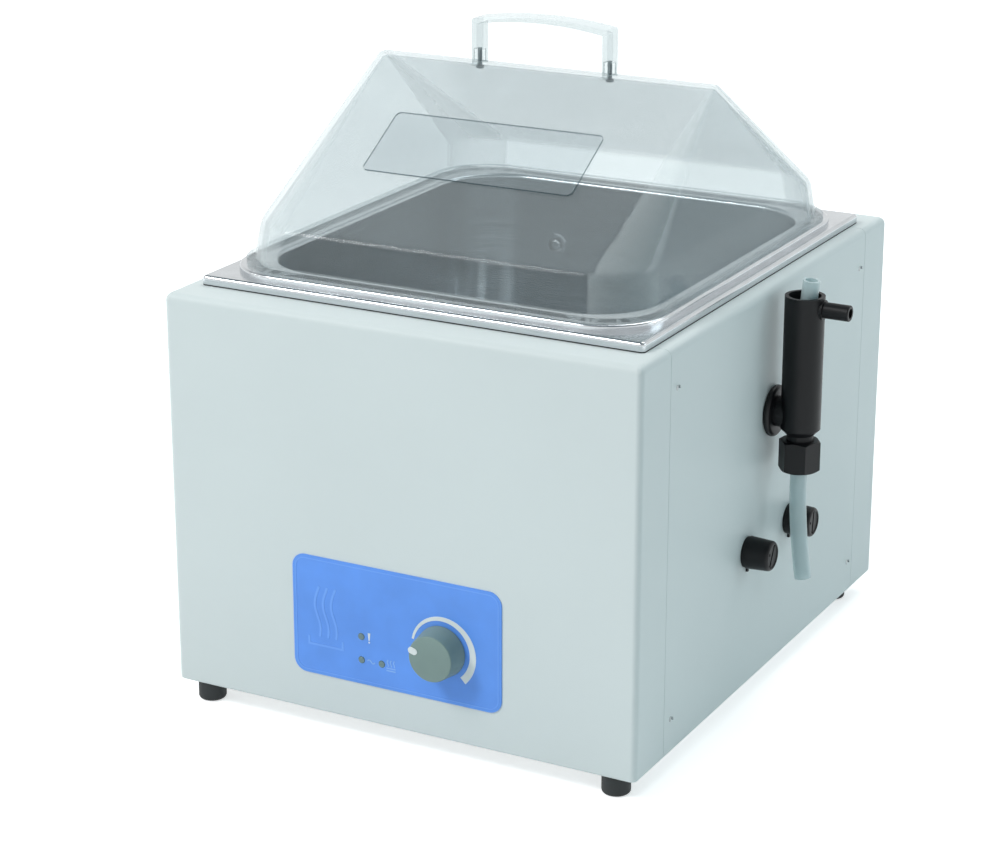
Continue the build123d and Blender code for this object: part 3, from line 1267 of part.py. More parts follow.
def half_size(base, knee, ridge, inset, z):
    """Half the lid's size at a height: up the skirt, round the knee and up the slope."""
    lean, slope, centre, centre_z = knee_curve(base, knee, ridge)
    radius = KNEE_RADIUS - inset
    if z <= centre_z + radius * math.sin(lean):
        return base - (z - rim_top) * math.tan(lean) - inset / math.cos(lean)
    if z >= centre_z + radius * math.sin(slope):
        return ridge + (ridge_z - z) * math.tan(slope) - inset / math.cos(slope)
    return centre + math.sqrt(radius**2 - (z - centre_z) ** 2)


def gable_form(inset):
    """The lid's outer form, or its inner one at a distance inside it, as a solid."""
    across = (LID_WIDTH / 2, LID_WIDTH / 2 - SKIRT_LEAN_X, RIDGE_LENGTH / 2)
    along = (LID_LENGTH / 2, LID_LENGTH / 2 - SKIRT_LEAN_Y, RIDGE_WIDTH / 2)
    lean, slope, _, centre_z = knee_curve(*along)
    levels = [rim_top]
    for step in range(KNEE_STEPS + 1):
        angle = lean + (slope - lean) * step / KNEE_STEPS
        levels.append(centre_z + (KNEE_RADIUS - inset) * math.sin(angle))
    levels.append(ridge_z - inset)
    with BuildPart() as form:
        for z in levels:
            half_x = half_size(*across, inset, z)
            half_y = half_size(*along, inset, z)
            rise = max(0, (z - knee_z) / GABLE_HEIGHT)
            corner = LID_CORNER_RADIUS + (RIDGE_CORNER_RADIUS - LID_CORNER_RADIUS) * rise - inset
            with BuildSketch(Plane.XY.offset(z)):
                RectangleRounded(2 * half_x, 2 * half_y, min(max(corner, 1), 0.9 * half_y))
        loft(ruled=True)
        ridge_edges = form.faces().sort_by(Axis.Z)[-1].edges()
        fillet(ridge_edges, RIDGE_EDGE_RADIUS if inset == 0 else RIDGE_EDGE_RADIUS / 4)
    return form


screw_seat_z = ridge_z - LID_SHEET
handle_spots = [(-HANDLE_SPAN / 2, 0), (HANDLE_SPAN / 2, 0)]
front_slope = Plane(
    origin=(PLATE_X, -RIDGE_WIDTH / 2, ridge_z),
    x_dir=(1, 0, 0),
    z_dir=(0, -math.sin(math.radians(slope_angle)), math.cos(math.radians(slope_angle))),
)
with BuildPart() as lid_cover:
    add(gable_form(0).part)
    with BuildSketch(front_slope):
        with Locations((0, -(PLATE_FROM_RIDGE + PLATE_HEIGHT / 2))):
            RectangleRounded(PLATE_WIDTH, PLATE_HEIGHT, PLATE_RADIUS)
    extrude(amount=PLATE_THICKNESS)
    with BuildSketch(Plane.XY.offset(rim_top)):
        RectangleRounded(
            LID_WIDTH + 2 * LID_LIP_WIDTH, LID_LENGTH + 2 * LID_LIP_WIDTH, LID_CORNER_RADIUS + LID_LIP_WIDTH
        )
    extrude(amount=LID_LIP_THICKNESS)
    add(gable_form(LID_SHEET).part, mode=Mode.SUBTRACT)
    with BuildSketch(Plane.XY.offset(screw_seat_z)):
        with Locations(*handle_spots):
            Circle(SMALL_SCREW_DIAMETER / 2 + HOLE_GAP)
    extrude(amount=LID_SHEET, mode=Mode.SUBTRACT)
finish(lid_cover.part, "lid_cover")


# Lid handle: a clear bent strip on two legs, screwed down from inside the lid

with BuildPart() as lid_handle:
    leg_out = (HANDLE_SPAN + HANDLE_THICKNESS) / 2
    leg_in = (HANDLE_SPAN - HANDLE_THICKNESS) / 2
    leg_foot = ridge_z - HANDLE_BOSS_HEIGHT
    leg_top = ridge_z + HANDLE_LEG_HEIGHT
    with BuildSketch(Plane.XZ.offset(-HANDLE_WIDTH / 2)):
        with BuildLine():
            Polyline((leg_out, leg_top), (leg_out, leg_foot), (-leg_out, leg_foot), (-leg_out, leg_top))
            ThreePointArc((-leg_out, leg_top), (0, leg_top + HANDLE_RISE), (leg_out, leg_top))
        make_face()
        with BuildLine():
            inner_top = leg_top - HANDLE_THICKNESS
            Polyline((leg_in, inner_top), (leg_in, leg_foot), (-leg_in, leg_foot), (-leg_in, inner_top))
            ThreePointArc((-leg_in, inner_top), (0, inner_top + HANDLE_RISE), (leg_in, inner_top))
        make_face(mode=Mode.SUBTRACT)
    extrude(amount=HANDLE_WIDTH)
    corners = lid_handle.edges().filter_by(Axis.Y).group_by(Axis.Z)[-1]
    fillet(corners, HANDLE_CORNER_RADIUS)
    with BuildSketch(Plane.XY.offset(leg_foot)):
        with Locations(*handle_spots):
            Circle(HANDLE_BOSS_DIAMETER / 2)
    extrude(amount=2 * HANDLE_BOSS_HEIGHT)
    add(gable_form(0).part, mode=Mode.SUBTRACT)
    with BuildSketch(Plane.XY.offset(ridge_z)):
        with Locations(*handle_spots):
            Circle(SMALL_SCREW_DIAMETER / 2 + FIT_GAP)
    extrude(amount=HANDLE_SCREW_REACH, mode=Mode.SUBTRACT)
finish(lid_handle.part, "lid_handle")

screw_seat = Plane(origin=(0, 0, screw_seat_z), x_dir=(1, 0, 0), z_dir=(0, 0, -1))
with BuildPart() as handle_screws:
    reach = LID_SHEET + HANDLE_SCREW_REACH - RUNNING_GAP
    add(small_screw(screw_seat, handle_spots, reach))
finish(handle_screws.part, "handle_screws")
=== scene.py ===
import json
import math

import bpy
from mathutils import Matrix, Vector


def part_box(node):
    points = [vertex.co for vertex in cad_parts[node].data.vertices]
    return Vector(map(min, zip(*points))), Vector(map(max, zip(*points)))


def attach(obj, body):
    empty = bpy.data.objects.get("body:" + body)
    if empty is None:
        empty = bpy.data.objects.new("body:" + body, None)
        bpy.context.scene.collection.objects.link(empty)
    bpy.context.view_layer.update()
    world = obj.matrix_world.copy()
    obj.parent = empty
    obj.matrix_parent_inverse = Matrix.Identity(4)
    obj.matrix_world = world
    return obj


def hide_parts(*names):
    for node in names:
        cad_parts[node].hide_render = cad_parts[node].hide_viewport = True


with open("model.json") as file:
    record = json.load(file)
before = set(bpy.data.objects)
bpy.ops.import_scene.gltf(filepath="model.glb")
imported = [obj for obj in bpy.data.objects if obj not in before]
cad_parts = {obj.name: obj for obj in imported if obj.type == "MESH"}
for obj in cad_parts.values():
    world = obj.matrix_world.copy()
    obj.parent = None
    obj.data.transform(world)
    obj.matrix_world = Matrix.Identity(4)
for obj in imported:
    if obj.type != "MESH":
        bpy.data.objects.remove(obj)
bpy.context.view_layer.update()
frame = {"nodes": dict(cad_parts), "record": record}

# Looks of a free-standing boiling water bath with a clear gabled lid and a constant-level device.

bl_info = {
    "name": "Water bath looks",
    "version": (1, 0, 0),
    "blender": (4, 5, 0),
    "location": "View3D > Sidebar > Water bath",
    "description": "Finishes, printed signs and studio for a water bath with a gabled lid",
    "category": "Object",
}

MM = 0.001

# Side screws

HEAD_RADIUS = 3.5 * MM
HEAD_HEIGHT = 2.2 * MM
HEAD_ROUNDING = 1.3 * MM
SHANK_RADIUS = 1.75 * MM
SHANK_LENGTH = 7.0 * MM
RECESS_BAR = (2.4 * MM, 4.4 * MM, 0.9 * MM)
RECESS_ANGLES = (20, 110)

# Signs on the overlay, as x and z in the part's frame

OVERLAY_CORNER = 9 * MM
STEAM_CENTRES = (-57.2 * MM, -51.2 * MM, -45.2 * MM)
STEAM_TOP = 101.5 * MM
STEAM_FOOT = 67 * MM
STEAM_SWING = 2.4 * MM
STEAM_LINE = 1.7 * MM
TRAY_LEFT = -64 * MM
TRAY_RIGHT = -39 * MM
TRAY_TOP = 66.5 * MM
TRAY_FLOOR = 61 * MM
TRAY_LINE = 1.5 * MM
MARK_CENTRE = -19.4 * MM
MARK_TOP = 76.4 * MM
MARK_FOOT = 71.4 * MM
MARK_TOP_HALF = 0.9 * MM
MARK_FOOT_HALF = 0.35 * MM
DOT_TOP = 70.6 * MM
DOT_FOOT = 69.6 * MM
DOT_WIDTH = 1.0 * MM
SUPPLY_LEFT = -20.9
SUPPLY_LENGTH = 5.6
SUPPLY_HEIGHT = 57.1
SUPPLY_SWING = 1.1
SUPPLY_STEPS = 12
HEAT_CENTRES = (-5.9 * MM, -3.6 * MM, -1.3 * MM)
HEAT_TOP = 61.0 * MM
HEAT_FOOT = 56.4 * MM
HEAT_SWING = 0.45 * MM
HEAT_LINES = (55.3 * MM, 53.6 * MM)
HEAT_LEFT = -7.0 * MM
HEAT_RIGHT = -0.2 * MM
FINE_LINE = 0.9 * MM
FINEST_LINE = 0.8 * MM
ARC_START = 168.0
ARC_END = -48.0
ARC_STEPS = 48

# Studio: each light's name, place, aim, size and colour, and the camera's place and axes

KEY_LIGHT = ("key_light", (-1.72, -2.05, 2.7), (0, 0, 0.3), 1.0, (1.0, 1.0, 1.0))
TOP_LIGHT = ("top_light", (0.4, 1.3, 2.6), (0, 0, 0.3), 1.6, (1.0, 1.0, 1.0))
SIDE_LIGHT = ("side_light", (2.6, 1.3, 1.5), (0.1, 0, 0.2), 1.2, (0.86, 0.95, 1.0))
FLOOR_SIZE = 24
SENSOR_WIDTH = 36.0
CAMERA_PLACE = (0.80483, -1.56348, 0.75939)
CAMERA_RIGHT = (0.8815051, 0.4721745, 0.0001818)
CAMERA_UP = (-0.1522627, 0.2838957, 0.9466886)
CAMERA_BACK = (0.4469507, -0.8345385, 0.3221500)

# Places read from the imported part

node_bodies = {
    node: body for body, nodes in frame["record"]["behaviour"]["bodies"].items() for node in nodes
}
overlay_low, overlay_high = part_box("control_overlay")
knob_low, knob_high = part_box("knob")
PANEL_FACE = overlay_low.y
KNOB_CENTRE = ((knob_low.x + knob_high.x) / 2, (knob_low.z + knob_high.z) / 2)

# Settings


class BathLooks(bpy.types.PropertyGroup):
    """Sizes and colours of the bath that a user would change."""

    paint: bpy.props.FloatVectorProperty(
        name="Casing paint", description="Colour of the casing", subtype="COLOR", size=3,
        default=(0.70, 0.765, 0.765),
    )
    steel: bpy.props.FloatVectorProperty(
        name="Tank steel", description="Colour of the tank", subtype="COLOR", size=3,
        default=(0.60, 0.63, 0.65),
    )
    overlay: bpy.props.FloatVectorProperty(
        name="Overlay", description="Colour of the control panel", subtype="COLOR", size=3,
        default=(0.12, 0.33, 0.91),
    )
    overlay_print: bpy.props.FloatVectorProperty(
        name="Pale print", description="Colour of the border and the steam sign", subtype="COLOR", size=3,
        default=(0.17, 0.40, 1.0),
    )
    white_print: bpy.props.FloatVectorProperty(
        name="White print", description="Colour of the arc round the knob", subtype="COLOR", size=3,
        default=(0.80, 0.85, 0.86),
    )
    knob: bpy.props.FloatVectorProperty(
        name="Knob", description="Colour of the heat knob", subtype="COLOR", size=3,
        default=(0.21, 0.30, 0.28),
    )
    clear_tint: bpy.props.FloatVectorProperty(
        name="Lid tint", description="What one face of the clear lid lets through", subtype="COLOR", size=3,
        default=(0.935, 0.95, 0.952),
    )
    tube: bpy.props.FloatVectorProperty(
        name="Tube", description="Colour of the overflow tube", subtype="COLOR", size=3,
        default=(0.72, 0.82, 0.83),
    )
    print_height: bpy.props.FloatProperty(
        name="Print height", description="How far a printed sign stands on the overlay", subtype="DISTANCE",
        default=0.15 * MM,
    )
    border_inset: bpy.props.FloatProperty(
        name="Border inset", description="From the overlay's edge to its border line", subtype="DISTANCE",
        default=1.9 * MM,
    )
    border_width: bpy.props.FloatProperty(
        name="Border width", description="Width of the overlay's border line", subtype="DISTANCE",
        default=0.8 * MM,
    )
    arc_radius: bpy.props.FloatProperty(
        name="Arc radius", description="Inner radius of the arc round the knob", subtype="DISTANCE",
        default=20.2 * MM,
    )
    arc_start_width: bpy.props.FloatProperty(
        name="Arc start width", description="Width of the arc at its low end", subtype="DISTANCE",
        default=1.5 * MM,
    )
    arc_end_width: bpy.props.FloatProperty(
        name="Arc end width", description="Width of the arc at its high end", subtype="DISTANCE",
        default=5.2 * MM,
    )


class StudioLooks(bpy.types.PropertyGroup):
    """Lights, floor and camera of the studio."""

    world_strength: bpy.props.FloatProperty(
        name="World", description="Strength of the room's light", default=0.60
    )
    key_power: bpy.props.FloatProperty(name="Key power", description="Power of the key light", default=62.0)
    top_power: bpy.props.FloatProperty(name="Top power", description="Power of the light above", default=26.0)
    side_power: bpy.props.FloatProperty(
        name="Side power", description="Power of the light at the back", default=10.0
    )
    floor_white: bpy.props.FloatProperty(name="Floor white", description="Glow of the floor", default=0.60)
    lens: bpy.props.FloatProperty(name="Lens", description="Focal length in millimetres", default=98.386)


# Selecting and shaping


def select_none():
    """Nothing is selected and nothing is active."""
    if bpy.context.mode != "OBJECT":
        bpy.ops.object.mode_set(mode="OBJECT")
    bpy.ops.object.select_all(action="DESELECT")


def select_only(piece):
    """One piece is selected and active."""
    select_none()
    piece.select_set(True)
    bpy.context.view_layer.objects.active = piece


def apply_place(piece):
    """The piece's place goes into its mesh, so that its object sits at the origin."""
    select_only(piece)
    bpy.ops.object.transform_apply(location=True, rotation=True, scale=True)


def flat_faces_stay_flat(piece):
    """Smooth shading over the curves, with the large flat faces left flat."""
    select_only(piece)
    bpy.ops.object.modifier_add(type="WEIGHTED_NORMAL")
    piece.modifiers[-1].keep_sharp = True
    bpy.ops.object.modifier_apply(modifier=piece.modifiers[-1].name)


def finish_piece(piece, body, materials):
    """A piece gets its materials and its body."""
    piece.data.materials.clear()
    for material in materials:
        piece.data.materials.append(material)
    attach(piece, body)


def smooth_copy(node, piece_name, material, angle=35):
    """A copy of a node with its triangles joined and its curves shaded smooth, which stands for it."""
    piece = bpy.data.objects.new(piece_name, frame["nodes"][node].data.copy())
    bpy.context.scene.collection.objects.link(piece)
    select_only(piece)
    if piece.data.has_custom_normals:
        bpy.ops.mesh.customdata_custom_splitnormals_clear()
    bpy.ops.object.mode_set(mode="EDIT")
    bpy.ops.mesh.select_all(action="SELECT")
    bpy.ops.mesh.remove_doubles(threshold=0.002 * MM)
    bpy.ops.object.mode_set(mode="OBJECT")
    bpy.ops.object.shade_smooth_by_angle(angle=math.radians(angle))
    flat_faces_stay_flat(piece)
    finish_piece(piece, node_bodies[node], [material])
    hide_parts(node)
    return piece


def dress(nodes, material):
    """CAD nodes whose shape is right get a finish."""
    for node in nodes:
        mesh = frame["nodes"][node].data
        mesh.materials.clear()
        mesh.materials.append(material)


# Finishes


def new_material(name):
    """An empty material with its output and one Principled shader."""
    material = bpy.data.materials.new(name)
    material.use_nodes = True
    tree = material.node_tree
    tree.nodes.clear()
    output = tree.nodes.new("ShaderNodeOutputMaterial")
    shader = tree.nodes.new("ShaderNodeBsdfPrincipled")
    tree.links.new(shader.outputs["BSDF"], output.inputs["Surface"])
    return material, tree, shader, output


def noise(tree, scale, stretch=(1, 1, 1), detail=3.0, roughness=0.5):
    """Noise over the piece, stretched along an axis for grain."""
    place = tree.nodes.new("ShaderNodeTexCoord")
    mapping = tree.nodes.new("ShaderNodeMapping")
    mapping.inputs["Scale"].default_value = stretch
    texture = tree.nodes.new("ShaderNodeTexNoise")
    texture.inputs["Scale"].default_value = scale
    texture.inputs["Detail"].default_value = detail
    texture.inputs["Roughness"].default_value = roughness
    tree.links.new(place.outputs["Object"], mapping.inputs["Vector"])
    tree.links.new(mapping.outputs["Vector"], texture.inputs["Vector"])
    return texture.outputs["Fac"]


def colour_between(tree, shader, factor, low, high, start=0.3, end=0.7):
    """The base colour wanders between two tones."""
    ramp = tree.nodes.new("ShaderNodeValToRGB")
    ramp.color_ramp.elements[0].position = start
    ramp.color_ramp.elements[0].color = (*low, 1)
    ramp.color_ramp.elements[1].position = end
    ramp.color_ramp.elements[1].color = (*high, 1)
    tree.links.new(factor, ramp.inputs["Fac"])
    tree.links.new(ramp.outputs["Color"], shader.inputs["Base Color"])


def roughness_between(tree, shader, factor, low, high):
    """The roughness wanders between two values."""
    span = tree.nodes.new("ShaderNodeMapRange")
    span.inputs["To Min"].default_value = low
    span.inputs["To Max"].default_value = high
    tree.links.new(factor, span.inputs["Value"])
    tree.links.new(span.outputs["Result"], shader.inputs["Roughness"])


def bumped(tree, shader, factor, strength, distance):
    """Fine relief from a noise."""
    bump = tree.nodes.new("ShaderNodeBump")
    bump.inputs["Strength"].default_value = strength
    bump.inputs["Distance"].default_value = distance
    tree.links.new(factor, bump.inputs["Height"])
    tree.links.new(bump.outputs["Normal"], shader.inputs["Normal"])


def shade(colour, factor):
    """A tone of a colour, darker under 1 and lighter over it."""
    return tuple(min(1.0, channel * factor) for channel in colour)


def casing_paint(colour):
    """Baked powder paint with a faint orange peel."""
    material, tree, shader, _ = new_material("casing_paint")
    tone = noise(tree, 6, detail=2)
    colour_between(tree, shader, tone, shade(colour, 0.985), shade(colour, 1.015))
    roughness_between(tree, shader, noise(tree, 40), 0.40, 0.50)
    bumped(tree, shader, noise(tree, 900, detail=2), 0.10, 0.05 * MM)
    shader.inputs["Specular IOR Level"].default_value = 0.35
    return material


def brushed_steel(name, colour, stretch, low=0.20, high=0.34, strength=0.12, grain=60):
    """Stainless steel with a drawn grain."""
    material, tree, shader, _ = new_material(name)
    lines = noise(tree, grain, stretch=stretch, detail=4, roughness=0.6)
    colour_between(tree, shader, lines, shade(colour, 0.90), shade(colour, 1.08))
    roughness_between(tree, shader, lines, low, high)
    bumped(tree, shader, lines, strength, 0.02 * MM)
    shader.inputs["Metallic"].default_value = 1.0
    return material


def moulded_plastic(name, colour, low, high, texture_size=700, strength=0.15, specular=0.45):
    """Moulded plastic with a fine skin."""
    material, tree, shader, _ = new_material(name)
    colour_between(tree, shader, noise(tree, 30), shade(colour, 0.93), shade(colour, 1.07))
    roughness_between(tree, shader, noise(tree, 120), low, high)
    bumped(tree, shader, noise(tree, texture_size, detail=2), strength, 0.04 * MM)
    shader.inputs["Specular IOR Level"].default_value = specular
    return material


def metal(name, colour, low, high):
    """Plated or turned metal with fine handling marks."""
    material, tree, shader, _ = new_material(name)
    colour_between(tree, shader, noise(tree, 90), shade(colour, 0.92), shade(colour, 1.05))
    roughness_between(tree, shader, noise(tree, 300, stretch=(1, 1, 4)), low, high)
    bumped(tree, shader, noise(tree, 800), 0.05, 0.02 * MM)
    shader.inputs["Metallic"].default_value = 1.0
    return material


def clear_plastic(name, tint, body_colour, least, most, rough):
    """Clear sheet that lets light through, milky where it is seen at a slant."""
    material, tree, shader, output = new_material(name)
    colour_between(tree, shader, noise(tree, 8), shade(body_colour, 0.96), shade(body_colour, 1.02))
    roughness_between(tree, shader, noise(tree, 60), rough, rough + 0.05)
    bumped(tree, shader, noise(tree, 35, detail=2), 0.04, 0.2 * MM)
    shader.inputs["Specular IOR Level"].default_value = 0.7
    through = tree.nodes.new("ShaderNodeBsdfTransparent")
    through.inputs["Color"].default_value = (*tint, 1)
    slant = tree.nodes.new("ShaderNodeLayerWeight")
    slant.inputs["Blend"].default_value = 0.28
    span = tree.nodes.new("ShaderNodeMapRange")
    span.inputs["To Min"].default_value = least
    span.inputs["To Max"].default_value = most
    both = tree.nodes.new("ShaderNodeMixShader")
    tree.links.new(slant.outputs["Facing"], span.inputs["Value"])
    tree.links.new(span.outputs["Result"], both.inputs["Fac"])
    tree.links.new(through.outputs["BSDF"], both.inputs[1])
    tree.links.new(shader.outputs["BSDF"], both.inputs[2])
    tree.links.new(both.outputs["Shader"], output.inputs["Surface"])
    return material


def board_resin():
    """Glass-fibre board with a woven tone."""
    material, tree, shader, _ = new_material("board_resin")
    colour_between(tree, shader, noise(tree, 500, stretch=(1, 1, 6)), (0.02, 0.12, 0.05), (0.03, 0.17, 0.07))
    roughness_between(tree, shader, noise(tree, 90), 0.35, 0.5)
    bumped(tree, shader, noise(tree, 900), 0.08, 0.03 * MM)
    return material


def mineral_wool():
    """Matted wool."""
    material, tree, shader, _ = new_material("mineral_wool")
    fibres = noise(tree, 300, stretch=(1, 1, 5), detail=6)
    colour_between(tree, shader, fibres, (0.55, 0.46, 0.22), (0.78, 0.70, 0.42))
    roughness_between(tree, shader, fibres, 0.9, 1.0)
    bumped(tree, shader, fibres, 0.8, 0.6 * MM)
    return material


# Printed signs on the overlay


def printed_strip(name, first_edge, second_edge, height, closed=False):
    """A thin printed strip on the overlay between two edges, given as matching points in x and z."""
    steps = len(first_edge)
    select_none()
    bpy.ops.mesh.primitive_grid_add(x_subdivisions=steps - 1, y_subdivisions=1, size=1)
    piece = bpy.context.object
    piece.name = name
    rows = sorted(piece.data.vertices, key=lambda v: (round(v.co.y, 3), v.co.x))
    for vertex, (x, z) in zip(rows, list(first_edge) + list(second_edge)):
        vertex.co = (x, PANEL_FACE, z)
    bpy.ops.object.mode_set(mode="EDIT")
    bpy.ops.mesh.select_all(action="SELECT")
    if closed:
        bpy.ops.mesh.remove_doubles(threshold=0.001 * MM)
    bpy.ops.mesh.extrude_region_move(TRANSFORM_OT_translate={"value": (0, -height, 0)})
    bpy.ops.mesh.select_all(action="SELECT")
    bpy.ops.mesh.normals_make_consistent(inside=False)
    bpy.ops.object.mode_set(mode="OBJECT")
    return piece


def placed_copy(pattern, place, turn=0.0):
    """A copy of a modelled piece with its own mesh, turned about Z and set at a place."""
    select_only(pattern)
    bpy.ops.object.duplicate()
    copy = bpy.context.object
    copy.location = place
    copy.rotation_euler = (0, 0, turn)
    apply_place(copy)
    return copy


def joined(name, pieces):
    """Several pieces become one."""
    select_none()
    for piece in pieces:
        piece.select_set(True)
    bpy.context.view_layer.objects.active = pieces[0]
    bpy.ops.object.join()
    piece = bpy.context.object
    piece.name = name
    return piece


def stroke(name, points, width, height):
    """A printed stroke of even width along points in x and z."""
    first, second = [], []
    for i, (x, z) in enumerate(points):
        before = points[max(i - 1, 0)]
        after = points[min(i + 1, len(points) - 1)]
        along = Vector((after[0] - before[0], after[1] - before[1])).normalized()
        first.append((x - along.y * width / 2, z + along.x * width / 2))
        second.append((x + along.y * width / 2, z - along.x * width / 2))
    return printed_strip(name, first, second, height)


def rounded_rectangle(low_x, high_x, low_z, high_z, radius, steps=8):
    """Points round a rectangle with round corners, back to the first one."""
    corners = (
        (high_x - radius, high_z - radius, 0),
        (low_x + radius, high_z - radius, 90),
        (low_x + radius, low_z + radius, 180),
        (high_x - radius, low_z + radius, 270),
    )
    points = []
    for x, z, start in corners:
        for step in range(steps + 1):
            angle = math.radians(start + 90 * step / steps)
            points.append((x + radius * math.cos(angle), z + radius * math.sin(angle)))
    return points + points[:1]


def wave(centre_x, top_z, bottom_z, lean, steps=20):
    """A steam wave that swings to the left above and to the right below."""
    points = []
    for step in range(steps + 1):
        t = step / steps
        swing = 0.55 * math.cos(math.pi * 1.9 * t) - 0.75 * math.sin(2 * math.pi * t)
        points.append((centre_x + lean * swing, top_z + (bottom_z - top_z) * t))
    return points


# Panel, signs and knob


class BATH_OT_overlay(bpy.types.Operator):
    """Finish the control panel's overlay and its border line"""

    bl_idname = "bath.overlay"
    bl_label = "Overlay and border"

    def execute(self, context):
        looks = context.scene.bath_looks
        film = moulded_plastic("overlay_film", looks.overlay, 0.32, 0.42, texture_size=1500, strength=0.12)
        smooth_copy("control_overlay", "overlay_face", film)
        edges = []
        for inset in (looks.border_inset, looks.border_inset + looks.border_width):
            left, right = overlay_low.x + inset, overlay_high.x - inset
            foot, top = overlay_low.z + inset, overlay_high.z - inset
            edges.append(rounded_rectangle(left, right, foot, top, OVERLAY_CORNER - inset))
        border = printed_strip("overlay_border", *edges, looks.print_height, closed=True)
        pale = moulded_plastic("pale_print", looks.overlay_print, 0.35, 0.45, texture_size=1500, strength=0.1)
        finish_piece(border, "bath", [pale])
        return {"FINISHED"}


class BATH_OT_steam_sign(bpy.types.Operator):
    """Print the sign of steam over a tray"""

    bl_idname = "bath.steam_sign"
    bl_label = "Steam sign"

    def execute(self, context):
        looks = context.scene.bath_looks
        height = looks.print_height
        strokes = []
        for x in STEAM_CENTRES:
            steam = wave(x, STEAM_TOP, STEAM_FOOT, STEAM_SWING)
            strokes.append(stroke("steam", steam, STEAM_LINE, height))
        half = TRAY_LINE / 2
        for x in (TRAY_LEFT, TRAY_RIGHT):
            strokes.append(stroke("tray", [(x, TRAY_TOP), (x, TRAY_FLOOR + half)], TRAY_LINE, height))
        tray_ends = [(TRAY_LEFT - half, TRAY_FLOOR), (TRAY_RIGHT + half, TRAY_FLOOR)]
        strokes.append(stroke("tray", tray_ends, TRAY_LINE, height))
        sign = joined("steam_sign", strokes)
        finish_piece(sign, "bath", [bpy.data.materials["pale_print"]])
        return {"FINISHED"}


class BATH_OT_lamp_signs(bpy.types.Operator):
    """Finish the three lamps and print the sign beside each one"""

    bl_idname = "bath.lamp_signs"
    bl_label = "Lamps and their signs"

    def execute(self, context):
        looks = context.scene.bath_looks
        height = looks.print_height
        lens = moulded_plastic("lamp_lens", (0.13, 0.22, 0.23), 0.15, 0.25, specular=0.6)
        smooth_copy("indicator_lamps", "lamp_lenses", lens)
        warning = [
            printed_strip(
                "warning",
                [(MARK_CENTRE - MARK_TOP_HALF, MARK_TOP), (MARK_CENTRE - MARK_FOOT_HALF, MARK_FOOT)],
                [(MARK_CENTRE + MARK_TOP_HALF, MARK_TOP), (MARK_CENTRE + MARK_FOOT_HALF, MARK_FOOT)],
                height,
            ),
            stroke("warning_dot", [(MARK_CENTRE, DOT_TOP), (MARK_CENTRE, DOT_FOOT)], DOT_WIDTH, height),
        ]
        white = moulded_plastic("white_print", looks.white_print, 0.4, 0.5, texture_size=1500, strength=0.1)
        finish_piece(joined("warning_sign", warning), "bath", [white])
        supply = []
        for step in range(SUPPLY_STEPS + 1):
            t = step / SUPPLY_STEPS
            x = (SUPPLY_LEFT + SUPPLY_LENGTH * t) * MM
            z = (SUPPLY_HEIGHT + SUPPLY_SWING * math.sin(2 * math.pi * t)) * MM
            supply.append((x, z))
        strokes = [stroke("supply", supply, FINE_LINE, height)]
        for x in HEAT_CENTRES:
            heat = wave(x, HEAT_TOP, HEAT_FOOT, HEAT_SWING, steps=10)
            strokes.append(stroke("heat", heat, FINEST_LINE, height))
        for z in HEAT_LINES:
            strokes.append(stroke("heat_line", [(HEAT_LEFT, z), (HEAT_RIGHT, z)], FINE_LINE, height))
        faint = moulded_plastic("faint_print", (0.25, 0.48, 0.95), 0.4, 0.5, texture_size=1500, strength=0.1)
        finish_piece(joined("lamp_signs", strokes), "bath", [faint])
        return {"FINISHED"}


class BATH_OT_heat_arc(bpy.types.Operator):
    """Print the white arc that widens clockwise round the knob"""

    bl_idname = "bath.heat_arc"
    bl_label = "Arc round the knob"

    def execute(self, context):
        looks = context.scene.bath_looks
        inner, outer = [], []
        for step in range(ARC_STEPS + 1):
            t = step / ARC_STEPS
            angle = math.radians(ARC_START + (ARC_END - ARC_START) * t)
            width = looks.arc_start_width + (looks.arc_end_width - looks.arc_start_width) * t
            for edge, radius in ((inner, looks.arc_radius), (outer, looks.arc_radius + width)):
                x = KNOB_CENTRE[0] + radius * math.cos(angle)
                z = KNOB_CENTRE[1] + radius * math.sin(angle)
                edge.append((x, z))
        arc = printed_strip("heat_arc", inner, outer, looks.print_height)
        finish_piece(arc, "bath", [bpy.data.materials["white_print"]])
        return {"FINISHED"}


class BATH_OT_knob(bpy.types.Operator):
    """Finish the heat knob, its pointer and what turns with it"""

    bl_idname = "bath.knob"
    bl_label = "Heat knob"

    def execute(self, context):
        looks = context.scene.bath_looks
        skin = moulded_plastic("knob_skin", looks.knob, 0.42, 0.52)
        smooth_copy("knob", "knob_body", skin)
        white = moulded_plastic("pointer_white", (0.80, 0.85, 0.85), 0.35, 0.45)
        smooth_copy("knob_pointer", "knob_mark", white)
        turned = metal("turned_aluminium", (0.72, 0.73, 0.74), 0.25, 0.4)
        dress(["regulator_shaft"], turned)
        return {"FINISHED"}


# Casing, tank and lid


class BATH_OT_casing(bpy.types.Operator):
    """Finish the painted sheets, the base plate and the feet"""

    bl_idname = "bath.casing"
    bl_label = "Casing"

    def execute(self, context):
        paint = casing_paint(context.scene.bath_looks.paint)
        for node in ("front_panel", "rear_panel", "side_panel_left", "side_panel_right"):
            smooth_copy(node, node + "_sheet", paint)
        plated = brushed_steel("plated_sheet", (0.55, 0.56, 0.56), (1, 8, 8), low=0.35, high=0.5)
        dress(["base_plate"], plated)
        rubber = moulded_plastic(
            "foot_rubber", (0.018, 0.022, 0.023), 0.55, 0.7, texture_size=500, strength=0.3
        )
        for corner in ("front_left", "front_right", "rear_left", "rear_right"):
            smooth_copy("foot_" + corner, "rubber_foot_" + corner, rubber)
        return {"FINISHED"}


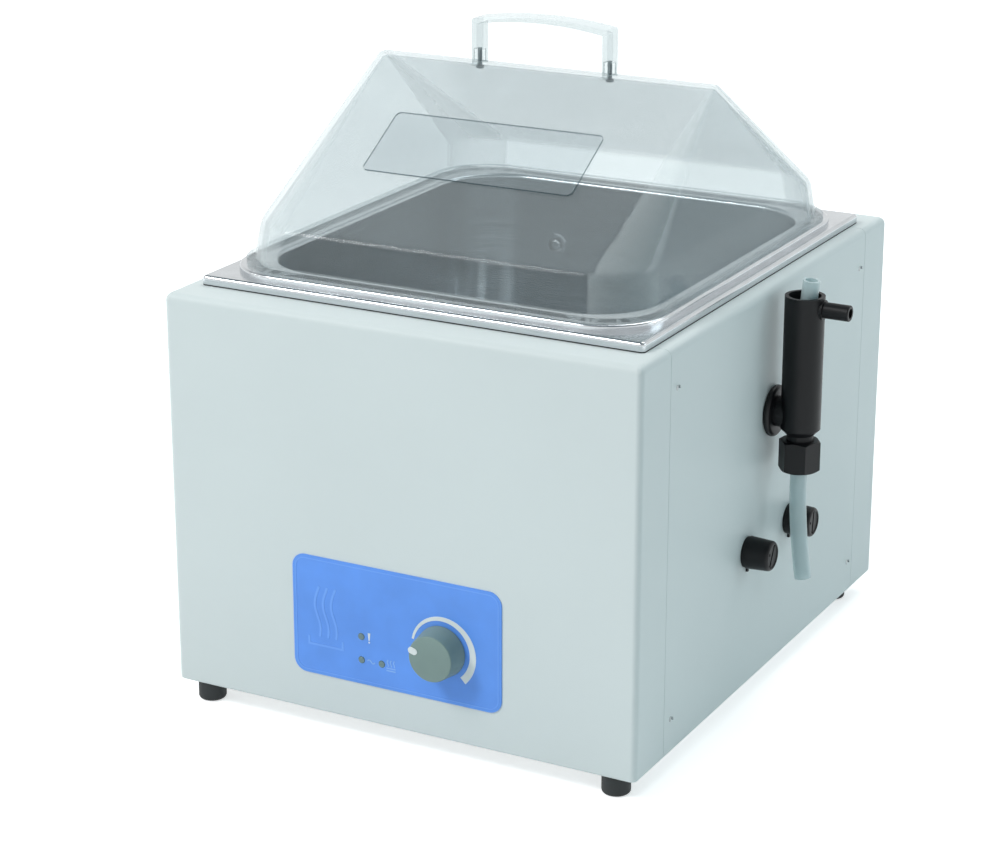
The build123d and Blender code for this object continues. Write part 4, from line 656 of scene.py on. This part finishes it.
class BATH_OT_side_screws(bpy.types.Operator):
    """Model one cross-recessed pan-head screw and set a copy at each side screw's place"""

    bl_idname = "bath.side_screws"
    bl_label = "Side screws"

    def execute(self, context):
        plated = metal("zinc_plate", (0.34, 0.37, 0.38), 0.25, 0.42)
        # The cross recess is the same plated metal as the head; its near-black colour is painted shade in the
        # recess.
        recess = moulded_plastic("screw_recess_shade", (0.02, 0.025, 0.025), 0.5, 0.7)
        pattern = self.pattern(recess)
        low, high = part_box("side_panel_screws")
        copies = []
        for x, turn in ((low.x, math.pi), (high.x, 0)):
            for y in (low.y + HEAD_RADIUS, high.y - HEAD_RADIUS):
                for z in (low.z + HEAD_RADIUS, high.z - HEAD_RADIUS):
                    copies.append(placed_copy(pattern, (x, y, z), turn))
        bpy.data.objects.remove(pattern)
        screws = joined("side_screws", copies)
        finish_piece(screws, "bath", [plated, recess])
        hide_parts("side_panel_screws")
        return {"FINISHED"}

    def pattern(self, recess):
        """A domed head with a cross recess that faces +X, its top at the origin, and its shank."""
        select_none()
        bpy.ops.mesh.primitive_cylinder_add(
            vertices=48, radius=HEAD_RADIUS, depth=HEAD_HEIGHT, location=(-HEAD_HEIGHT / 2, 0, 0),
            rotation=(0, math.radians(90), 0),
        )
        head = bpy.context.object
        apply_place(head)
        for face in head.data.polygons:
            face.select = face.normal.x > 0.9
        bpy.ops.object.mode_set(mode="EDIT")
        bpy.ops.mesh.select_mode(type="FACE")
        bpy.ops.mesh.bevel(offset=HEAD_ROUNDING, segments=5, profile=0.55)
        bpy.ops.object.mode_set(mode="OBJECT")
        for angle in RECESS_ANGLES:
            bpy.ops.mesh.primitive_cube_add(size=1, rotation=(math.radians(angle), 0, 0))
            cutter = bpy.context.object
            cutter.scale = RECESS_BAR
            apply_place(cutter)
            # The cutter's faces bring the painted recess shade onto the walls of the recess.
            cutter.data.materials.append(None)
            cutter.data.materials.append(recess)
            for face in cutter.data.polygons:
                face.material_index = 1
            select_only(head)
            bpy.ops.object.modifier_add(type="BOOLEAN")
            cut = head.modifiers[-1]
            cut.operation = "DIFFERENCE"
            cut.object = cutter
            cut.solver = "EXACT"
            bpy.ops.object.modifier_apply(modifier=cut.name)
            bpy.data.objects.remove(cutter)
        bpy.ops.mesh.primitive_cylinder_add(
            vertices=24, radius=SHANK_RADIUS, depth=SHANK_LENGTH,
            location=(-HEAD_HEIGHT - SHANK_LENGTH / 2, 0, 0), rotation=(0, math.radians(90), 0),
        )
        shank = bpy.context.object
        apply_place(shank)
        screw = joined("side_screw", [head, shank])
        bpy.ops.object.shade_smooth_by_angle(angle=math.radians(32))
        return screw


class BATH_OT_tank(bpy.types.Operator):
    """Finish the drawn tank and what shows in it"""

    bl_idname = "bath.tank"
    bl_label = "Tank"

    def execute(self, context):
        looks = context.scene.bath_looks
        drawn = brushed_steel(
            "drawn_steel", looks.steel, (1, 1, 22), low=0.16, high=0.30, strength=0.10, grain=40
        )
        smooth_copy("tank", "tank_shell", drawn)
        ring = metal("bush_steel", (0.66, 0.68, 0.70), 0.15, 0.28)
        for node, piece_name in (
            ("sensor_bush", "sensor_ring"), ("level_sensor", "sensor_probe"), ("level_port", "port_tube"),
        ):
            smooth_copy(node, piece_name, ring)
        dress(["temperature_probe"], ring)
        seal = moulded_plastic("seal_rubber", (0.02, 0.022, 0.022), 0.6, 0.75)
        dress(["tank_seal", "gland_seal"], seal)
        return {"FINISHED"}


class BATH_OT_lid(bpy.types.Operator):
    """Finish the clear gabled lid, its handle and its screws"""

    bl_idname = "bath.lid"
    bl_label = "Lid and handle"

    def execute(self, context):
        looks = context.scene.bath_looks
        sheet = clear_plastic("lid_sheet", looks.clear_tint, (0.70, 0.76, 0.78), 0.05, 0.50, 0.06)
        shell = smooth_copy("lid_cover", "lid_shell", sheet, angle=28)
        # The corners' lighter, milkier finish is a painted highlight for the light lines along the lid's
        # corners.
        corner = clear_plastic("lid_corner_highlight", looks.clear_tint, (0.80, 0.86, 0.87), 0.16, 0.60, 0.07)
        plate = clear_plastic("lid_plate", (0.86, 0.89, 0.90), (0.50, 0.56, 0.58), 0.20, 0.60, 0.12)
        # The plate's edge faces are the same clear plastic; their dark tint is painted shade standing in for
        # the dark lines that refraction gives at the plate's edges.
        plate_edge_shade = clear_plastic("plate_edge_shade", (0.35, 0.40, 0.42), (0.20, 0.25, 0.27), 0.45, 0.80, 0.10)
        for material in (corner, plate, plate_edge_shade):
            shell.data.materials.append(material)
        self.mark_faces(shell)
        strip = clear_plastic("handle_strip", (0.93, 0.95, 0.95), (0.66, 0.72, 0.73), 0.10, 0.75, 0.05)
        smooth_copy("lid_handle", "handle_bar", strip)
        dark = metal("blackened_screw", (0.12, 0.13, 0.14), 0.3, 0.45)
        smooth_copy("handle_screws", "handle_pegs", dark)
        return {"FINISHED"}

    def mark_faces(self, shell):
        """The corners get a painted highlight, and the raised plate on the front slope gets its own finish
        with painted dark lines at its edges.
        """
        mesh = shell.data
        fronts = [f for f in mesh.polygons if f.normal.y < -0.3 and f.normal.z > 0.7]
        slope = max(fronts, key=lambda f: f.area).normal
        reach = {f.index: max(slope.dot(mesh.vertices[v].co) for v in f.vertices) for f in mesh.polygons}
        front = [f for f in mesh.polygons if f.normal.dot(slope) > 0.999]
        plate_top = max(reach[f.index] for f in front)
        for face in mesh.polygons:
            if reach[face.index] > plate_top - 0.4 * MM:
                # The plate's top faces get the plate's finish, and its edge faces the painted shade lines.
                face.material_index = 2 if face.normal.dot(slope) > 0.999 else 3
            elif abs(face.normal.x) > 0.1 and abs(face.normal.y) > 0.1:
                # Corner faces: painted highlight.
                face.material_index = 1


# Level device, fuses, inlet and the inside


class BATH_OT_level_device(bpy.types.Operator):
    """Finish the constant-level device and its overflow tube"""

    bl_idname = "bath.level_device"
    bl_label = "Constant-level device"

    def execute(self, context):
        looks = context.scene.bath_looks
        black = moulded_plastic(
            "black_moulding", (0.005, 0.0055, 0.0065), 0.36, 0.48, strength=0.10, specular=0.25
        )
        smooth_copy("level_collar", "device_collar", black)
        smooth_copy("level_chamber", "device_chamber", black)
        smooth_copy("gland_nut", "device_nut", black, angle=25)
        milk = clear_plastic("tube_wall", (0.85, 0.92, 0.93), looks.tube, 0.50, 0.75, 0.30)
        smooth_copy("overflow_tube", "level_tube_wall", milk)
        return {"FINISHED"}


class BATH_OT_fuses(bpy.types.Operator):
    """Finish the two fuse holders with their caps and links"""

    bl_idname = "bath.fuses"
    bl_label = "Fuse holders"

    def execute(self, context):
        black = bpy.data.materials["black_moulding"]
        glass = clear_plastic("link_glass", (0.92, 0.95, 0.95), (0.7, 0.75, 0.75), 0.1, 0.7, 0.03)
        for end in ("front", "rear"):
            smooth_copy("fuse_cap_" + end, "cap_" + end, black, angle=30)
            smooth_copy("fuse_holder_" + end, "holder_" + end, black, angle=30)
            smooth_copy("fuse_link_" + end, "link_" + end, glass)
        dress(["fuse_holder_nuts"], black)
        return {"FINISHED"}


class BATH_OT_inlet(bpy.types.Operator):
    """Finish the mains inlet in the rear panel"""

    bl_idname = "bath.inlet"
    bl_label = "Mains inlet"

    def execute(self, context):
        shell = moulded_plastic("inlet_shell", (0.015, 0.015, 0.016), 0.4, 0.55, strength=0.2)
        smooth_copy("mains_inlet", "inlet_body", shell, angle=30)
        brass = metal("plated_brass", (0.72, 0.62, 0.42), 0.2, 0.35)
        dress(["inlet_pins", "earth_stud", "earth_nut"], brass)
        zinc = bpy.data.materials["zinc_plate"]
        smooth_copy("inlet_screws", "inlet_screw_heads", zinc)
        dress(["inlet_nuts"], zinc)
        return {"FINISHED"}


class BATH_OT_inside(bpy.types.Operator):
    """Finish the pieces inside and under the casing"""

    bl_idname = "bath.inside"
    bl_label = "Inside pieces"

    def execute(self, context):
        zinc = bpy.data.materials["zinc_plate"]
        dress(["clamp_nuts", "tie_rods", "tie_rod_nuts", "board_screws", "regulator_nut"], zinc)
        dress(["knob_grub_screw"], zinc)
        for place in ("base", "foot"):
            smooth_copy(place + "_screws", place + "_screw_heads", zinc)
        dark_sheet = brushed_steel("heater_sheet", (0.42, 0.40, 0.38), (1, 10, 10), low=0.35, high=0.55)
        dress(["heater_element", "element_clamp", "overheat_cutout"], dark_sheet)
        dress(["insulation"], mineral_wool())
        dress(["control_board"], board_resin())
        ivory = moulded_plastic("ivory_nylon", (0.75, 0.73, 0.66), 0.4, 0.5)
        dress(["board_pillars", "terminal_block"], ivory)
        case = moulded_plastic("relay_case", (0.03, 0.03, 0.035), 0.35, 0.5)
        dress(["power_relay", "regulator_body"], case)
        return {"FINISHED"}


# Studio


def lamp(name, place, aim, size, colour, power):
    """A soft square light that points at a place."""
    data = bpy.data.lights.new(name, "AREA")
    data.shape = "SQUARE"
    data.size = size
    data.energy = power
    data.color = colour
    light = bpy.data.objects.new(name, data)
    light.location = place
    light.rotation_euler = (Vector(aim) - Vector(place)).to_track_quat("-Z", "Y").to_euler()
    bpy.context.scene.collection.objects.link(light)
    return light


def seen_or_lit(tree, kinds, seen_socket, lit_socket):
    """What rays of some kinds see is one shader, and what every other ray sees another."""
    path = tree.nodes.new("ShaderNodeLightPath")
    factor = path.outputs[kinds[0]]
    for kind in kinds[1:]:
        most = tree.nodes.new("ShaderNodeMath")
        most.operation = "MAXIMUM"
        tree.links.new(factor, most.inputs[0])
        tree.links.new(path.outputs[kind], most.inputs[1])
        factor = most.outputs["Value"]
    mix = tree.nodes.new("ShaderNodeMixShader")
    tree.links.new(factor, mix.inputs["Fac"])
    tree.links.new(lit_socket, mix.inputs[1])
    tree.links.new(seen_socket, mix.inputs[2])
    return mix.outputs["Shader"]


class BATH_OT_stage(bpy.types.Operator):
    """Set the floor, the lights, the world and the camera"""

    bl_idname = "bath.stage"
    bl_label = "Studio"

    def execute(self, context):
        studio = context.scene.studio_looks
        self.floor(studio)
        self.world(context, studio)
        lamp(*KEY_LIGHT, studio.key_power)
        lamp(*TOP_LIGHT, studio.top_power)
        lamp(*SIDE_LIGHT, studio.side_power)
        self.camera(context, studio)
        context.scene.view_settings.view_transform = "Standard"
        return {"FINISHED"}

    def floor(self, studio):
        """A plain pale floor."""
        select_none()
        bpy.ops.mesh.primitive_plane_add(size=FLOOR_SIZE)
        floor = bpy.context.object
        floor.name = "floor"
        material, tree, shader, output = new_material("floor_paper")
        shader.inputs["Base Color"].default_value = (0.86, 0.88, 0.885, 1)
        shader.inputs["Roughness"].default_value = 0.9
        shader.inputs["Specular IOR Level"].default_value = 0.1
        glow = tree.nodes.new("ShaderNodeEmission")
        glow.inputs["Color"].default_value = (1, 1, 1, 1)
        glow.inputs["Strength"].default_value = studio.floor_white
        both = tree.nodes.new("ShaderNodeAddShader")
        tree.links.new(shader.outputs["BSDF"], both.inputs[0])
        tree.links.new(glow.outputs["Emission"], both.inputs[1])
        kinds = ("Is Camera Ray", "Is Glossy Ray", "Is Transmission Ray")
        mixed = seen_or_lit(tree, kinds, both.outputs["Shader"], shader.outputs["BSDF"])
        tree.links.new(mixed, output.inputs["Surface"])
        floor.data.materials.append(material)

    def world(self, context, studio):
        """Soft light from all round, cooler from the right, with white behind the object."""
        world = bpy.data.worlds.new("studio_room")
        context.scene.world = world
        world.use_nodes = True
        tree = world.node_tree
        tree.nodes.clear()
        output = tree.nodes.new("ShaderNodeOutputWorld")
        place = tree.nodes.new("ShaderNodeTexCoord")
        split = tree.nodes.new("ShaderNodeSeparateXYZ")
        tree.links.new(place.outputs["Generated"], split.inputs["Vector"])

        def sky(axis, low, high, start, end, strength):
            """A sky that goes from one colour to another along an axis."""
            ramp = tree.nodes.new("ShaderNodeMapRange")
            ramp.interpolation_type = "SMOOTHSTEP"
            ramp.inputs["From Min"].default_value = start
            ramp.inputs["From Max"].default_value = end
            mix = tree.nodes.new("ShaderNodeMix")
            mix.data_type = "RGBA"
            mix.inputs["A"].default_value = (*low, 1)
            mix.inputs["B"].default_value = (*high, 1)
            shader = tree.nodes.new("ShaderNodeBackground")
            shader.inputs["Strength"].default_value = strength
            tree.links.new(split.outputs[axis], ramp.inputs["Value"])
            tree.links.new(ramp.outputs["Result"], mix.inputs["Factor"])
            tree.links.new(mix.outputs["Result"], shader.inputs["Color"])
            return shader.outputs["Background"]

        lit = sky("X", (1.0, 1.0, 1.0), (0.30, 0.46, 0.50), -0.7, 0.8, studio.world_strength)
        mirrored = sky("Z", (1.0, 1.0, 1.0), (0.20, 0.24, 0.26), 0.35, 0.75, 1.0)
        white = tree.nodes.new("ShaderNodeBackground")
        white.inputs["Color"].default_value = (1, 1, 1, 1)
        glossy = seen_or_lit(tree, ("Is Glossy Ray",), mirrored, lit)
        kinds = ("Is Camera Ray", "Is Transmission Ray")
        mixed = seen_or_lit(tree, kinds, white.outputs["Background"], glossy)
        tree.links.new(mixed, output.inputs["Surface"])

    def camera(self, context, studio):
        """The camera stands in front, to the right and above, and looks down at the bath."""
        data = bpy.data.cameras.new("camera")
        data.sensor_width = SENSOR_WIDTH
        data.sensor_fit = "HORIZONTAL"
        data.lens = studio.lens
        camera = bpy.data.objects.new("camera", data)
        turn = Matrix((CAMERA_RIGHT, CAMERA_UP, CAMERA_BACK)).transposed().to_4x4()
        camera.matrix_world = Matrix.Translation(CAMERA_PLACE) @ turn
        context.scene.collection.objects.link(camera)
        context.scene.camera = camera


# Panel and steps


class BATH_PT_sidebar(bpy.types.Panel):
    """The steps and the sizes of the water bath's looks"""

    bl_idname = "BATH_PT_sidebar"
    bl_label = "Water bath"
    bl_space_type = "VIEW_3D"
    bl_region_type = "UI"
    bl_category = "Water bath"

    def draw(self, context):
        for group in (context.scene.bath_looks, context.scene.studio_looks):
            for name in group.__annotations__:
                self.layout.prop(group, name)
        for step in STEPS:
            self.layout.operator(step.bl_idname)


STEPS = (
    BATH_OT_casing,
    BATH_OT_side_screws,
    BATH_OT_tank,
    BATH_OT_overlay,
    BATH_OT_steam_sign,
    BATH_OT_lamp_signs,
    BATH_OT_heat_arc,
    BATH_OT_knob,
    BATH_OT_level_device,
    BATH_OT_fuses,
    BATH_OT_inlet,
    BATH_OT_inside,
    BATH_OT_lid,
    BATH_OT_stage,
)
CLASSES = (BathLooks, StudioLooks, *STEPS, BATH_PT_sidebar)


def register():
    """Make the operators, the panel and the settings known."""
    for item in CLASSES:
        bpy.utils.register_class(item)
    bpy.types.Scene.bath_looks = bpy.props.PointerProperty(type=BathLooks)
    bpy.types.Scene.studio_looks = bpy.props.PointerProperty(type=StudioLooks)


def unregister():
    """Take the operators, the panel and the settings away again."""
    del bpy.types.Scene.studio_looks
    del bpy.types.Scene.bath_looks
    for item in reversed(CLASSES):
        bpy.utils.unregister_class(item)


def main():
    """Run every step in order."""
    register()
    for step in STEPS:
        group, name = step.bl_idname.split(".")
        getattr(getattr(bpy.ops, group), name)()


if __name__ == "__main__":
    main()
